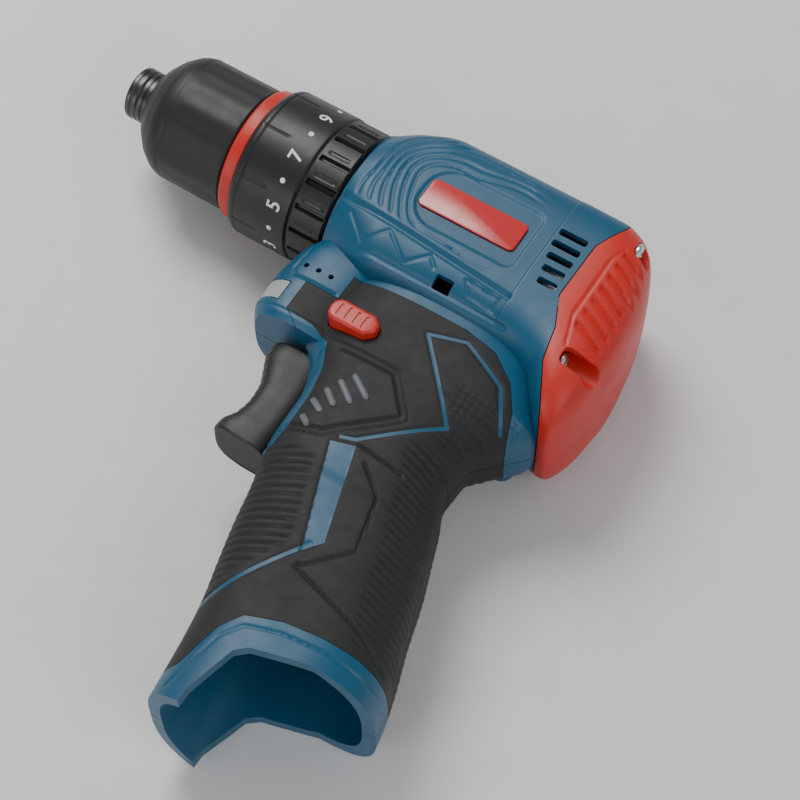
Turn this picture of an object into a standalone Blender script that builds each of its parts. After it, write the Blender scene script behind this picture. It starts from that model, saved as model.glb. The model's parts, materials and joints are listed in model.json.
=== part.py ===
"""Cordless drill driver with a keyless chuck, a torque collar and a hollow grip for a slide-in battery.

Sizes are millimetres in the drill's own frame: x runs from the nose to the rear along the spindle, y points to
the drill's top and z to its left side, with the spindle on the x axis and the housing's parting plane at z = 0.
to_world() turns them into metres, with the drill lying on its right side and the origin under its middle.
"""

import math

import bmesh
import bpy
from mathutils import Matrix, Vector

MM = 0.001
GAP = 0.3  # clearance between neighbouring pieces

# Overall size
LENGTH = 168.5
TOP = 25.8
FOOT = -156.0
HALF_WIDTH = 25.0

# Shell thicknesses
COVER = 1.4
WALL = 2.0

# Barrel and rear cover sections: x, top y, bottom y, half width, roundness exponent
BARREL = [
    (78.5, 23.2, -23.2, 23.2, 2.0),
    (82.0, 23.9, -24.2, 23.9, 2.4),
    (88.0, 24.8, -25.8, 24.6, 3.2),
    (98.0, 25.7, -27.4, 25.0, 4.5),
    (140.0, TOP, -27.6, HALF_WIDTH, 4.5),
    (149.0, TOP, -30.5, HALF_WIDTH, 4.5),
    (154.0, 24.8, -36.5, 24.8, 4.2),
    (158.5, 21.8, -41.0, 24.2, 3.8),
    (162.5, 15.0, -42.0, 22.6, 3.4),
    (166.0, 4.5, -37.0, 19.0, 3.0),
    (LENGTH, -9.0, -27.0, 12.0, 2.6),
]
# Grip and foot sections: y, front x, rear x, half width, roundness exponent
GRIP = [
    (-18.0, 92.0, 150.0, 18.5, 2.6),
    (-30.0, 90.0, 157.0, 19.0, 2.8),
    (-42.0, 88.0, 160.0, 19.3, 3.0),
    (-50.0, 92.0, 153.5, 19.2, 3.0),
    (-57.0, 97.5, 148.0, 19.0, 3.0),
    (-66.0, 99.8, 147.5, 19.0, 3.0),
    (-75.0, 100.0, 150.8, 19.3, 3.0),
    (-83.0, 100.8, 153.6, 20.0, 3.0),
    (-92.0, 103.5, 156.8, 21.0, 3.0),
    (-106.0, 106.6, 160.7, 22.3, 3.0),
    (-117.0, 109.5, 164.3, 23.6, 3.0),
    (-128.0, 112.5, 167.0, 24.8, 3.0),
    (-136.0, 114.0, 168.0, HALF_WIDTH, 3.0),
    (FOOT, 116.5, 168.0, HALF_WIDTH, 3.0),
]
# Front column over the trigger, with the work light: y, front x, rear x, half width, roundness exponent
COLUMN = [
    (-19.0, 77.0, 104.0, 14.5, 2.6),
    (-26.0, 74.2, 104.0, 15.6, 2.8),
    (-38.0, 72.6, 104.0, 16.0, 2.8),
    (-46.0, 73.0, 104.0, 15.8, 2.8),
    (-50.0, 75.5, 104.0, 14.8, 2.8),
]
# The hollow inside starts behind the collar, follows the column more loosely and runs out through the foot
HOLLOW_FRONT = 81.3
COLUMN_HOLLOW = [
    (-23.0, 75.0, 109.0, 15.6, 2.8),
    (-38.0, 72.6, 109.0, 16.0, 2.8),
    (-48.0, 73.4, 109.0, 15.7, 2.8),
]
WELL_FOOT = (-180.0, 119.0, 168.3, 25.4, 3.0)

# Side-view outlines, x and y
COVER_OUTLINE = [
    (84.4, -36.8), (94.5, -36.8), (94.5, -28.4), (130.0, -28.4), (140.0, -30.0), (147.5, -35.0),
    (152.4, -42.0), (155.0, -50.0), (175.0, -58.0), (175.0, -124.0), (158.0, -123.6), (148.0, -124.4),
    (138.0, -126.0), (128.4, -129.5), (124.5, -135.0), (121.0, -147.0), (118.0, -149.5), (100.0, -149.5),
    (90.0, -84.6), (90.0, -50.4), (84.4, -46.4),
]
CAP_FRONT = [(150.8, 30.0), (150.6, 19.3), (146.9, 9.2), (146.5, -9.2), (150.6, -18.4), (152.4, -27.6),
             (160.4, -42.5), (161.5, -47.0)]
FOOT_CUT = [(127.0, -170.0), (127.4, -152.0), (131.5, -138.5), (134.5, -136.0), (150.0, -131.6),
            (180.0, -131.6), (180.0, -170.0)]

# Openings in the housing
TRIGGER_WINDOW = ((76.0, -84.4, -9.0), (106.0, -50.9, 9.0))
SWITCH_WINDOW = ((95.4, -46.0, -30.0), (111.0, -38.6, 30.0))
LENS_WINDOW = ((68.0, -45.3, -20.0), (80.9, -38.7, 20.0))
SELECTOR_WINDOW = ((85.4, 19.0, -7.0), (103.0, 40.0, 7.0))
COLLAR_HOLE_RADIUS = 19.3
VENT_FRONT, VENT_REAR = 136.5, 145.0
VENT_TOP, VENT_PITCH, VENT_HEIGHT, VENT_COUNT = 8.4, 4.1, 2.2, 5
GAUGE_HOLES = [(81.3, -32.2), (85.3, -32.2), (89.3, -32.2)]

# Badge plates let into both sides of the barrel
BADGE_FRONT, BADGE_REAR, BADGE_BOTTOM, BADGE_TOP = 99.0, 129.0, -4.3, 5.4
BADGE_FLOOR, BADGE_FACE = 24.0, 24.9

# Screws
HOUSING_SCREWS = [(100.0, -32.5), (150.0, -41.0), (140.5, -70.0), (111.0, -95.0), (120.0, 21.6)]
HOUSING_BOSS_RADIUS, HOUSING_BOSS_REACH = 3.2, [15.0, 14.5, 15.0, 17.0, 12.5]
CAP_SCREWS = [(16.4, 20.0), (-23.8, 20.0), (16.4, -20.0), (-23.8, -20.0)]
CAP_SCREW_HEAD_X = 157.6
CAP_BOSS_FRONT, CAP_BOSS_RADIUS = 153.0, 4.4
SCREW_RADIUS, SCREW_HEAD_RADIUS, SCREW_HEAD_HEIGHT = 1.3, 2.7, 1.6
HEAD_SEAT_Z = -11.0

# Trigger return spring, in a pocket of the trigger
SPRING_POCKET, SPRING_Y, TRIGGER_SPRING_REAR = (95.6, 110.0), -60.0, 109.6

# Gear train: two equal planetary stages
SUN_TEETH, PLANET_TEETH, RING_TEETH = 12, 15, 42
MODULE = 0.625
PLANETS = 3
STAGE_1, STAGE_2 = (91.5, 96.5), (80.5, 85.5)
RING_OUTER = 15.3
CARRIER_RADIUS, CARRIER_PIN, CARRIER_PLATE = 11.5, 1.5, 2.0

# Chuck
NOSE_RADIUS, SLEEVE_RADIUS, SLEEVE_REAR = 8.0, 19.1, 41.3
JAW_RADIUS, JAW_SLANT, JAW_FRONT, JAW_LENGTH = 2.3, math.radians(12), 1.4, 25.0
JAW_OPENING, JAW_AXIS_AT_FRONT, JAW_APEX = 3.4, 3.9, 3.05
JAWS = 3

# Torque collar and clutch
COLLAR_FRONT, COLLAR_REAR, COLLAR_RADIUS, COLLAR_BORE = 46.4, 77.5, 22.5, 19.2
NUT_FRONT, NUT_REAR = 52.0, 55.5
TORQUE_SETTINGS = 18
SPRING_END = 65.4

# Motor
MOTOR_RADIUS, MOTOR_FRONT, MOTOR_REAR = 17.5, 103.8, 150.0

BOX_CENTRE = Vector((LENGTH / 2, (TOP + FOOT) / 2, -HALF_WIDTH))


def to_world(point):
    return (Vector(point) - BOX_CENTRE) * MM


def clear_scene():
    for obj in list(bpy.data.objects):
        bpy.data.objects.remove(obj, do_unlink=True)


def material(name, colour, roughness, metallic=0.0):
    made = bpy.data.materials.new(name)
    made.use_nodes = True
    shader = made.node_tree.nodes["Principled BSDF"]
    shader.inputs["Base Color"].default_value = (*colour, 1.0)
    shader.inputs["Roughness"].default_value = roughness
    shader.inputs["Metallic"].default_value = metallic
    made.diffuse_color = (*colour, 1.0)
    return made


BLUE = (0.008, 0.130, 0.230)
BLACK = (0.018, 0.018, 0.020)
RED = (0.560, 0.045, 0.030)
STEEL = (0.420, 0.420, 0.430)
BRASS = (0.600, 0.420, 0.160)
COPPER = (0.550, 0.240, 0.110)
BOARD = (0.020, 0.160, 0.060)


# ---------------------------------------------------------------- mesh builders, all in millimetres


def grid_faces(mesh, rings, wrap):
    """Joins equal rings of vertices with quads; a ring of one vertex is a pole."""
    pairs = list(zip(rings, rings[1:])) + ([(rings[-1], rings[0])] if wrap else [])
    for first, second in pairs:
        count = max(len(first), len(second))
        for i in range(count):
            j = (i + 1) % count
            corners = [first[i % len(first)], first[j % len(first)],
                       second[j % len(second)], second[i % len(second)]]
            corners = list(dict.fromkeys(corners))
            if len(corners) > 2:
                mesh.faces.new(corners)


def turned(profile, steps=28):
    """Turns a profile of (x, radius) about the x axis; one that leaves the axis closes on itself."""
    mesh = bmesh.new()
    rings = []
    for x, radius in profile:
        turns = [2 * math.pi * i / steps for i in range(steps if radius > 0 else 1)]
        rings.append([mesh.verts.new((x, radius * math.sin(a), radius * math.cos(a))) for a in turns])
    grid_faces(mesh, rings, wrap=profile[0][1] > 0)
    bmesh.ops.recalc_face_normals(mesh, faces=mesh.faces)
    return mesh


def tube(front, rear, outer, inner, steps=28):
    return turned([(front, outer), (rear, outer), (rear, inner), (front, inner)], steps)


def rounded_ring(low_a, high_a, low_b, high_b, exponent, count=20):
    """A closed superellipse that reaches the given limits with a short flat on each side, as (a, b) pairs."""
    ring = []
    reach = math.cos(math.pi / count) ** (2 / exponent)
    for i in range(count):
        angle = 2 * math.pi * (i + 0.5) / count
        wave = [math.copysign(abs(f(angle)) ** (2 / exponent) / reach, f(angle)) for f in (math.cos, math.sin)]
        ring.append((
            (low_a + high_a) / 2 + wave[0] * (high_a - low_a) / 2,
            (low_b + high_b) / 2 + wave[1] * (high_b - low_b) / 2,
        ))
    return ring


def lofted(rings):
    mesh = bmesh.new()
    made = [[mesh.verts.new(point) for point in ring] for ring in rings]
    grid_faces(mesh, made, wrap=False)
    mesh.faces.new(made[0])
    mesh.faces.new(made[-1])
    bmesh.ops.recalc_face_normals(mesh, faces=mesh.faces)
    return mesh


def barrel(inset=0.0, sections=BARREL):
    rings = []
    for x, top, bottom, half, exponent in sections:
        ring = rounded_ring(bottom + inset, top - inset, inset - half, half - inset, exponent)
        rings.append([(x, y, z) for y, z in ring])
    return lofted(rings)


def upright(sections, inset=0.0):
    rings = []
    for y, front, rear, half, exponent in sections:
        ring = rounded_ring(front + inset, rear - inset, inset - half, half - inset, exponent)
        rings.append([(x, y, z) for x, z in ring])
    return lofted(rings)


def plate(outline, low, high, hole=None, axis="z"):
    """A flat outline, with an optional hole, made solid between two levels along the z or the x axis."""
    mesh = bmesh.new()
    for loop in [outline] + ([hole] if hole else []):
        corners = [mesh.verts.new((a, b, low)) for a, b in loop]
        for i, corner in enumerate(corners):
            mesh.edges.new((corner, corners[(i + 1) % len(corners)]))
    bmesh.ops.triangle_fill(mesh, use_beauty=True, use_dissolve=False, edges=mesh.edges[:], normal=(0, 0, 1))
    grown = bmesh.ops.extrude_face_region(mesh, geom=mesh.faces[:])["geom"]
    risen = [item for item in grown if isinstance(item, bmesh.types.BMVert)]
    bmesh.ops.translate(mesh, verts=risen, vec=(0, 0, high - low))
    if axis == "x":
        along_x = Matrix(((0, 0, 1, 0), (1, 0, 0, 0), (0, 1, 0, 0), (0, 0, 0, 1)))
        bmesh.ops.transform(mesh, verts=mesh.verts, matrix=along_x)
    bmesh.ops.recalc_face_normals(mesh, faces=mesh.faces)
    return mesh


def block(low, high):
    (x0, y0, z0), (x1, y1, z1) = low, high
    return plate([(x0, y0), (x1, y0), (x1, y1), (x0, y1)], z0, z1)


def rod(start, end, radius, steps=12):
    """A plain cylinder between two points."""
    start, end = Vector(start), Vector(end)
    mesh = bmesh.new()
    size = (end - start).length
    bmesh.ops.create_cone(mesh, cap_ends=True, segments=steps, radius1=radius, radius2=radius, depth=size)
    turn = Vector((0, 0, 1)).rotation_difference(end - start).to_matrix().to_4x4()
    bmesh.ops.transform(mesh, verts=mesh.verts, matrix=Matrix.Translation((start + end) / 2) @ turn)
    return mesh


def circle(radius, count, centre=(0.0, 0.0)):
    turns = [2 * math.pi * i / count for i in range(count)]
    return [(centre[0] + radius * math.cos(a), centre[1] + radius * math.sin(a)) for a in turns]


def gear_outline(teeth, phase, internal=False):
    """Straight-sided teeth with backlash; an internal gear's teeth point inwards."""
    pitch_radius = MODULE * teeth / 2
    side = -1 if internal else 1
    tip, root = pitch_radius + side * 0.8 * MODULE, pitch_radius - side * 1.1 * MODULE
    outline = []
    for i in range(teeth):
        middle = phase + 2 * math.pi * i / teeth
        for radius, offset in ((root, -0.26), (tip, -0.11), (tip, 0.11), (root, 0.26)):
            angle = middle + offset * 2 * math.pi / teeth
            outline.append((radius * math.cos(angle), radius * math.sin(angle)))
    return outline


def coil(front, rear, radius, wire, turns, steps=10, sides=5):
    """A compression spring along the x axis with its ends on the given levels."""
    mesh = bmesh.new()
    rings = []
    for i in range(turns * steps + 1):
        angle = 2 * math.pi * i / steps
        x = front + wire + (rear - front - 2 * wire) * i / (turns * steps)
        out = Vector((0, math.cos(angle), math.sin(angle)))
        ring = []
        for k in range(sides):
            around = 2 * math.pi * k / sides
            ring.append(mesh.verts.new(Vector((x, 0, 0)) + out * (radius + wire * math.cos(around))
                                       + Vector((wire * math.sin(around), 0, 0))))
        rings.append(ring)
    grid_faces(mesh, rings, wrap=False)
    mesh.faces.new(rings[0])
    mesh.faces.new(rings[-1])
    bmesh.ops.recalc_face_normals(mesh, faces=mesh.faces)
    return mesh


def shifted(mesh, offset):
    bmesh.ops.translate(mesh, verts=mesh.verts, vec=offset)
    return mesh


# ---------------------------------------------------------------- objects


def add(name, mesh, finish=None, pivot=(0.0, 0.0, 0.0)):
    """Makes an object whose origin is at the pivot. Without a finish it is a hidden cutter."""
    bmesh.ops.translate(mesh, verts=mesh.verts, vec=-Vector(pivot))
    bmesh.ops.scale(mesh, verts=mesh.verts, vec=(MM, MM, MM))
    data = bpy.data.meshes.new(name)
    mesh.to_mesh(data)
    mesh.free()
    made = bpy.data.objects.new(name, data)
    made.location = to_world(pivot)
    bpy.context.scene.collection.objects.link(made)
    if finish:
        data.materials.append(finish)
        data.shade_smooth()
        data.set_sharp_from_angle(angle=math.radians(35))
    else:
        made.hide_render = True
        made.display_type = "WIRE"
    return made


def combine(target, operation, *tools):
    """Stacks one Boolean per tool on the target and returns the target."""
    for tool in tools:
        step = target.modifiers.new(tool.name, "BOOLEAN")
        step.operation = operation
        step.object = tool
    return target


# ---------------------------------------------------------------- housing


def hollow():
    """The space inside the housing: barrel, front column, grip and battery well in one shape."""
    sections = [(HOLLOW_FRONT, *BARREL[1][1:])] + BARREL[2:-1] + [(180.0, *BARREL[-1][1:])]
    inside = add("hollow", barrel(WALL, sections))
    return combine(inside, "UNION", add("hollow_grip", upright(GRIP[:-2] + [WELL_FOOT], COVER + GAP + WALL)),
                   add("hollow_column", upright(COLUMN_HOLLOW, WALL)))


def cutters():
    """The hidden shapes that the shells share."""
    made = {
        "barrel_core": add("barrel_core", barrel(0.4)),
        "grip": add("form_grip", upright(GRIP)),
        "column": add("form_column", upright(COLUMN)),
        "hollow": hollow(),
        "collar_space": [
            add("collar_hole", rod((70, 0, 0), (90, 0, 0), COLLAR_HOLE_RADIUS, 32)),
            add("collar_sweep", rod((60, 0, 0), (COLLAR_REAR + 0.6, 0, 0), COLLAR_RADIUS + 0.5, 32)),
        ],
        "behind_cap": add("behind_cap", plate(CAP_FRONT + [(200.0, -47.0), (200.0, 30.0)], -40, 40)),
        "foot_cut": add("foot_cut", plate(FOOT_CUT, -40, 40)),
        "trigger_window": add("trigger_window", block(*TRIGGER_WINDOW)),
        "switch_window": add("switch_window", block(*SWITCH_WINDOW)),
        "lens_window": add("lens_window", block(*LENS_WINDOW)),
        "selector_window": add("selector_window", block(*SELECTOR_WINDOW)),
        "left_half": add("left_half", block((50, -180, 0.15), (200, 60, 40))),
        "right_half": add("right_half", block((50, -180, -40), (200, 60, -0.15))),
        "cover_area": add("cover_area", plate(COVER_OUTLINE, -40, 40)),
    }
    made["cover_bed"] = add("cover_bed", plate(COVER_OUTLINE, -41, 41))
    combine(made["cover_bed"], "DIFFERENCE",
            add("core_grip", upright(GRIP, COVER + GAP)), add("core_column", upright(COLUMN, COVER + GAP)))
    made["cover_inside"] = [add("inside_grip", upright(GRIP, COVER)),
                            add("inside_column", upright(COLUMN, COVER))]
    return made


def screw_holes(side, reach):
    """Clearance holes for the housing screws, counterbored from the right."""
    made = []
    for i, (x, y) in enumerate(HOUSING_SCREWS):
        if side == "right":
            counterbore = rod((x, y, -reach), (x, y, HEAD_SEAT_Z - GAP), SCREW_HEAD_RADIUS + GAP)
            made.append(add(f"head_hole_{i}", counterbore))
            made.append(add(f"shank_hole_{i}", rod((x, y, -reach), (x, y, 3), SCREW_RADIUS + GAP, 12)))
        else:
            made.append(add(f"thread_hole_{i}", rod((x, y, -3), (x, y, 9.0), SCREW_RADIUS + GAP, 12)))
    return made


def vents(side):
    sign = 1 if side == "left" else -1
    made = []
    for i in range(VENT_COUNT):
        top = VENT_TOP + VENT_HEIGHT / 2 - VENT_PITCH * i
        ends = sorted((sign * 21.0, sign * 30.0))
        slot = block((VENT_FRONT, top - VENT_HEIGHT, ends[0]), (VENT_REAR, top, ends[1]))
        made.append(add(f"vent_{side}_{i}", slot))
    return made


def badge_recess(side):
    sign = 1 if side == "left" else -1
    low, high = sorted((sign * (BADGE_FLOOR - GAP), sign * 30.0))
    corners = (BADGE_FRONT - GAP, BADGE_BOTTOM - GAP, low), (BADGE_REAR + GAP, BADGE_TOP + GAP, high)
    return add(f"badge_recess_{side}", block(*corners))


def housing(side, shapes):
    shell = add(f"housing_{side}", barrel(), material(f"blue_shell_{side}", BLUE, 0.38))
    combine(shell, "UNION", shapes["grip"], shapes["column"])
    combine(shell, "DIFFERENCE", shapes["hollow"])
    for i, ((x, y), reach) in enumerate(zip(HOUSING_SCREWS, HOUSING_BOSS_REACH)):
        boss = rod((x, y, -reach), (x, y, reach), HOUSING_BOSS_RADIUS)
        combine(shell, "UNION", add(f"boss_{side}_{i}", boss))
    for i, (y, z) in enumerate(CAP_SCREWS):
        corner = add(f"corner_{side}_{i}", rod((137, y, z), (149, y, z), 3.4))
        combine(shell, "UNION", combine(corner, "INTERSECT", shapes["barrel_core"]))
        hole = rod((141, y, z), (170, y, z), SCREW_RADIUS + GAP, 12)
        combine(shell, "DIFFERENCE", add(f"corner_hole_{side}_{i}", hole))
    windows = [shapes[f"{name}_window"] for name in ("trigger", "switch", "lens", "selector")]
    combine(shell, "DIFFERENCE", shapes["cover_bed"], shapes["behind_cap"], shapes["foot_cut"],
            *shapes["collar_space"], *windows, badge_recess(side), *vents(side), *screw_holes(side, 30))
    if side == "left":
        for i, (x, y) in enumerate(GAUGE_HOLES):
            combine(shell, "DIFFERENCE", add(f"gauge_hole_{i}", rod((x, y, 5), (x, y, 30), 0.8, 10)))
    return combine(shell, "INTERSECT", shapes[f"{side}_half"])


def grip_cover(side, shapes):
    cover = add(f"grip_cover_{side}", upright(GRIP), material(f"rubber_{side}", BLACK, 0.62))
    combine(cover, "UNION", shapes["column"])
    combine(cover, "INTERSECT", add(f"cover_edge_{side}", plate(inset_outline(COVER_OUTLINE, GAP), -40, 40)))
    combine(cover, "DIFFERENCE", *shapes["cover_inside"], shapes["trigger_window"], shapes["switch_window"],
            shapes["foot_cut"], add(f"under_barrel_{side}", barrel(-GAP)))
    if side == "right":
        for i, (x, y) in enumerate(HOUSING_SCREWS[:4]):
            hole = rod((x, y, -30), (x, y, -8), SCREW_HEAD_RADIUS + GAP)
            combine(cover, "DIFFERENCE", add(f"cover_hole_{i}", hole))
    return combine(cover, "INTERSECT", shapes[f"{side}_half"])


def inset_outline(outline, distance):
    """Moves each corner of a clockwise or anticlockwise outline inwards along its two sides."""
    area = sum(x0 * y1 - x1 * y0 for (x0, y0), (x1, y1) in zip(outline, outline[1:] + outline[:1]))
    sign = 1 if area > 0 else -1
    moved = []
    for i, (x, y) in enumerate(outline):
        before, after = Vector(outline[i - 1]), Vector(outline[(i + 1) % len(outline)])
        here = Vector((x, y))
        first, second = (here - before).normalized(), (after - here).normalized()
        inward = Vector((-first.y - second.y, first.x + second.x)) * sign
        corner = inward.normalized()
        scale = distance / max(0.3, corner.dot(Vector((-first.y, first.x)) * sign))
        moved.append(tuple(here + corner * scale))
    return moved


def rear_cover(shapes):
    cap = add("rear_cover", barrel(), material("red_shell", RED, 0.40))
    inner = [(140.0, 22.0, -25.5, 22.3, 2.3), (150.0, 22.0, -28.0, 22.3, 2.3),
             (158.0, 18.0, -35.0, 21.0, 2.3),
             (162.5, 11.5, -36.5, 18.5, 2.3), (165.6, 1.0, -32.0, 13.5, 2.3)]
    area = [(x + GAP, y) for x, y in CAP_FRONT] + [(200.0, -47.0), (200.0, 30.0)]
    behind = add("cap_area", plate(area, -40, 40))
    combine(cap, "INTERSECT", behind)
    combine(cap, "DIFFERENCE", add("cap_hollow", barrel(0.0, inner)))
    for i, (y, z) in enumerate(CAP_SCREWS):
        boss = add(f"cap_boss_{i}", rod((CAP_BOSS_FRONT, y, z), (LENGTH, y, z), CAP_BOSS_RADIUS, 20))
        combine(cap, "UNION", combine(boss, "INTERSECT", shapes["barrel_core"]))
        seat = CAP_SCREW_HEAD_X - SCREW_HEAD_HEIGHT - GAP
        pocket = rod((seat, y, z), (180, y, z), SCREW_HEAD_RADIUS + GAP)
        combine(cap, "DIFFERENCE", add(f"cap_pocket_{i}", pocket),
                add(f"cap_shank_{i}", rod((140, y, z), (180, y, z), SCREW_RADIUS + GAP, 12)))
    return cap


# ---------------------------------------------------------------- fasteners and trim


def screw(name, head, tip, finish):
    """A pan-head screw from its head's outer face to its tip."""
    head, tip = Vector(head), Vector(tip)
    down = (tip - head).normalized()
    shank = add(name, rod(head + down * 0.6, tip, SCREW_RADIUS, 10), finish, pivot=head)
    top = rod(head, head + down * SCREW_HEAD_HEIGHT, SCREW_HEAD_RADIUS, 14)
    return combine(shank, "UNION", add(f"{name}_head", top))


def screws():
    finish = material("screw_steel", STEEL, 0.35, 1.0)
    for i, (x, y) in enumerate(HOUSING_SCREWS):
        screw(f"housing_screw_{i + 1}", (x, y, HEAD_SEAT_Z - SCREW_HEAD_HEIGHT - GAP), (x, y, 8.0), finish)
    for i, (y, z) in enumerate(CAP_SCREWS):
        screw(f"rear_cover_screw_{i + 1}", (CAP_SCREW_HEAD_X, y, z), (142.0, y, z), finish)


def badges():
    for side, sign in (("left", 1), ("right", -1)):
        low, high = sorted((sign * BADGE_FLOOR, sign * BADGE_FACE))
        add(f"badge_plate_{side}", block((BADGE_FRONT, BADGE_BOTTOM, low), (BADGE_REAR, BADGE_TOP, high)),
            material(f"badge_{side}", RED, 0.35))


# ---------------------------------------------------------------- controls in the grip


def trigger():
    outline = [(84.2, -51.6), (83.6, -56.0), (85.6, -61.0), (87.6, -66.0), (88.0, -71.0), (87.0, -76.0),
               (84.6, -80.0), (84.4, -82.4), (87.5, -83.9), (96.0, -83.9), (103.0, -82.0), (103.0, -51.6)]
    lever = add("trigger", plate(outline, -8.6, 8.6), material("trigger_black", BLACK, 0.5), pivot=(93, -66, 0))
    low, high = SPRING_POCKET
    edge = lever.modifiers.new("edge", "BEVEL")
    edge.width = 1.2 * MM
    edge.segments = 2
    edge.limit_method = "ANGLE"
    edge.angle_limit = math.radians(50)
    combine(lever, "DIFFERENCE", add("spring_pocket", rod((low, SPRING_Y, 0), (high, SPRING_Y, 0), 3.5, 16)))
    wire = coil(low + GAP, TRIGGER_SPRING_REAR, 2.6, 0.4, 6)
    add("trigger_spring", shifted(wire, (0, SPRING_Y, 0)), material("spring_steel", STEEL, 0.3, 1.0))


def switch_parts():
    add("switch_body", block((110.0, -80.0, -9.5), (133.0, -54.0, 9.5)), material("switch_black", BLACK, 0.5))
    sink = material("aluminium", (0.6, 0.6, 0.62), 0.35, 1.0)
    add("heat_sink", block((112.0, -79.0, 9.9), (131.0, -56.0, 11.5)), sink)
    outline = [(96.0, -42.3), (96.4, -40.4), (97.6, -39.2), (99.0, -38.9), (108.4, -38.9), (110.7, -41.0),
               (110.7, -43.4), (108.2, -45.7), (99.0, -45.7), (97.4, -45.3), (96.4, -44.2)]
    add("direction_button", plate(outline, -21.6, 21.6), material("button_red", RED, 0.35), pivot=(103, -42.3, 0))


def light_parts():
    lens = add("light_lens", upright(COLUMN), material("lens", (0.62, 0.62, 0.62), 0.2))
    combine(lens, "INTERSECT", add("lens_area", block((60.0, -45.0, -18.0), (80.6, -39.0, 18.0))))
    combine(lens, "DIFFERENCE", add("lens_hollow", upright(COLUMN, WALL)))
    board = add("light_board", block((82.5, -46.5, -8.0), (84.0, -36.5, 8.0)), material("board", BOARD, 0.5))
    combine(board, "UNION", add("lamp", rod((77.5, -42.0, 0), (83.0, -42.0, 0), 2.5, 16)))
    add("gauge_board", block((80.5, -35.0, 9.0), (92.0, -29.6, 10.2)), material("gauge_green", BOARD, 0.5))


def battery_terminals():
    terminal_black = material("terminal_black", BLACK, 0.5)
    add("terminal_block", block((112.5, -91.0, -13.0), (146.0, -86.0, 13.0)), terminal_black)
    finish = material("brass", BRASS, 0.3, 1.0)
    for name, x in (("battery_contact_positive", 122.0), ("battery_contact_negative", 136.0)):
        add(name, block((x, -99.0, -3.0), (x + 0.8, -91.3, 3.0)), finish)


# ---------------------------------------------------------------- motor and gearbox


def motor():
    steel = material("motor_steel", (0.25, 0.25, 0.26), 0.35, 1.0)
    can = [(MOTOR_FRONT, MOTOR_RADIUS), (MOTOR_REAR, MOTOR_RADIUS), (MOTOR_REAR, 16.0), (105.3, 16.0), (105.3, 3.5),
           (MOTOR_FRONT, 3.5)]
    body = add("motor_can", turned(can), steel)
    for i, turn in enumerate((0.0, math.pi)):
        arc = [turn + math.radians(-55 + 11 * k) for k in range(11)]
        outline = [(16.3 * math.cos(a), 16.3 * math.sin(a)) for a in arc]
        outline += [(12.6 * math.cos(a), 12.6 * math.sin(a)) for a in reversed(arc)]
        combine(body, "UNION", add(f"magnet_{i}", plate(outline, 110, 142, axis="x")))
    add("motor_end_cap", tube(150.3, 153.4, MOTOR_RADIUS, 2.2), material("end_cap_black", BLACK, 0.5))
    shaft = [(90.2, 0), (90.2, 1.6), (108.0, 1.6), (108.0, 5.0), (111.0, 5.0), (111.0, 11.9), (139.0, 11.9),
             (139.0, 5.2), (148.5, 5.2), (148.5, 1.6), (160.2, 1.6), (160.2, 0)]
    add("motor_shaft", turned(shaft, 28), material("armature", COPPER, 0.4, 1.0))
    for name, sign in (("brush_positive", 1), ("brush_negative", -1)):
        low, high = sorted((sign * 5.6, sign * 11.0))
        add(name, block((142.0, -2.0, low), (147.0, 2.0, high)), material(name, (0.03, 0.03, 0.03), 0.7))
    fan = add("cooling_fan", tube(154.0, 155.4, 14.2, 1.9, 36), material("fan_black", BLACK, 0.5))
    blades = []
    for i in range(9):
        for radius, offset in ((4.2, -14), (13.8, -3), (13.8, 3), (4.2, 14)):
            angle = math.radians(40 * i + offset)
            blades.append((radius * math.cos(angle), radius * math.sin(angle)))
    combine(fan, "UNION", add("fan_blades", plate(blades, 155.0, 159.2, circle(1.9, 12), "x")))
    add("motor_plate", tube(100.2, 103.4, 18.2, 5.0), steel)


def planet_centre(i):
    angle = 2 * math.pi * i / PLANETS
    distance = MODULE * (SUN_TEETH + PLANET_TEETH) / 2
    return distance * math.cos(angle), distance * math.sin(angle)


def planets(stage, front, rear, finish):
    """Three planets; each has a gap towards the sun, whose teeth point at them."""
    for i in range(PLANETS):
        y, z = planet_centre(i)
        turn = 2 * math.pi * i / PLANETS + math.pi + math.pi / PLANET_TEETH
        gear = plate(gear_outline(PLANET_TEETH, turn), front, rear, circle(CARRIER_PIN + GAP, 8), "x")
        add(f"planet_{stage}_{'abc'[i]}", shifted(gear, (0, y, z)), finish, pivot=((front + rear) / 2, y, z))


def carrier(stage, plate_front, pins_to, finish, hub):
    """A disc with three pins for its planets, and a hub towards the nose."""
    plain = rod((plate_front, 0, 0), (plate_front + CARRIER_PLATE, 0, 0), CARRIER_RADIUS, 32)
    disc = add(f"planet_carrier_{stage}", plain, finish)
    for i in range(PLANETS):
        y, z = planet_centre(i)
        pin = rod((plate_front + 1, y, z), (pins_to, y, z), CARRIER_PIN, 10)
        combine(disc, "UNION", add(f"carrier_pin_{stage}_{i}", pin))
    return combine(disc, "UNION", hub)


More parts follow.
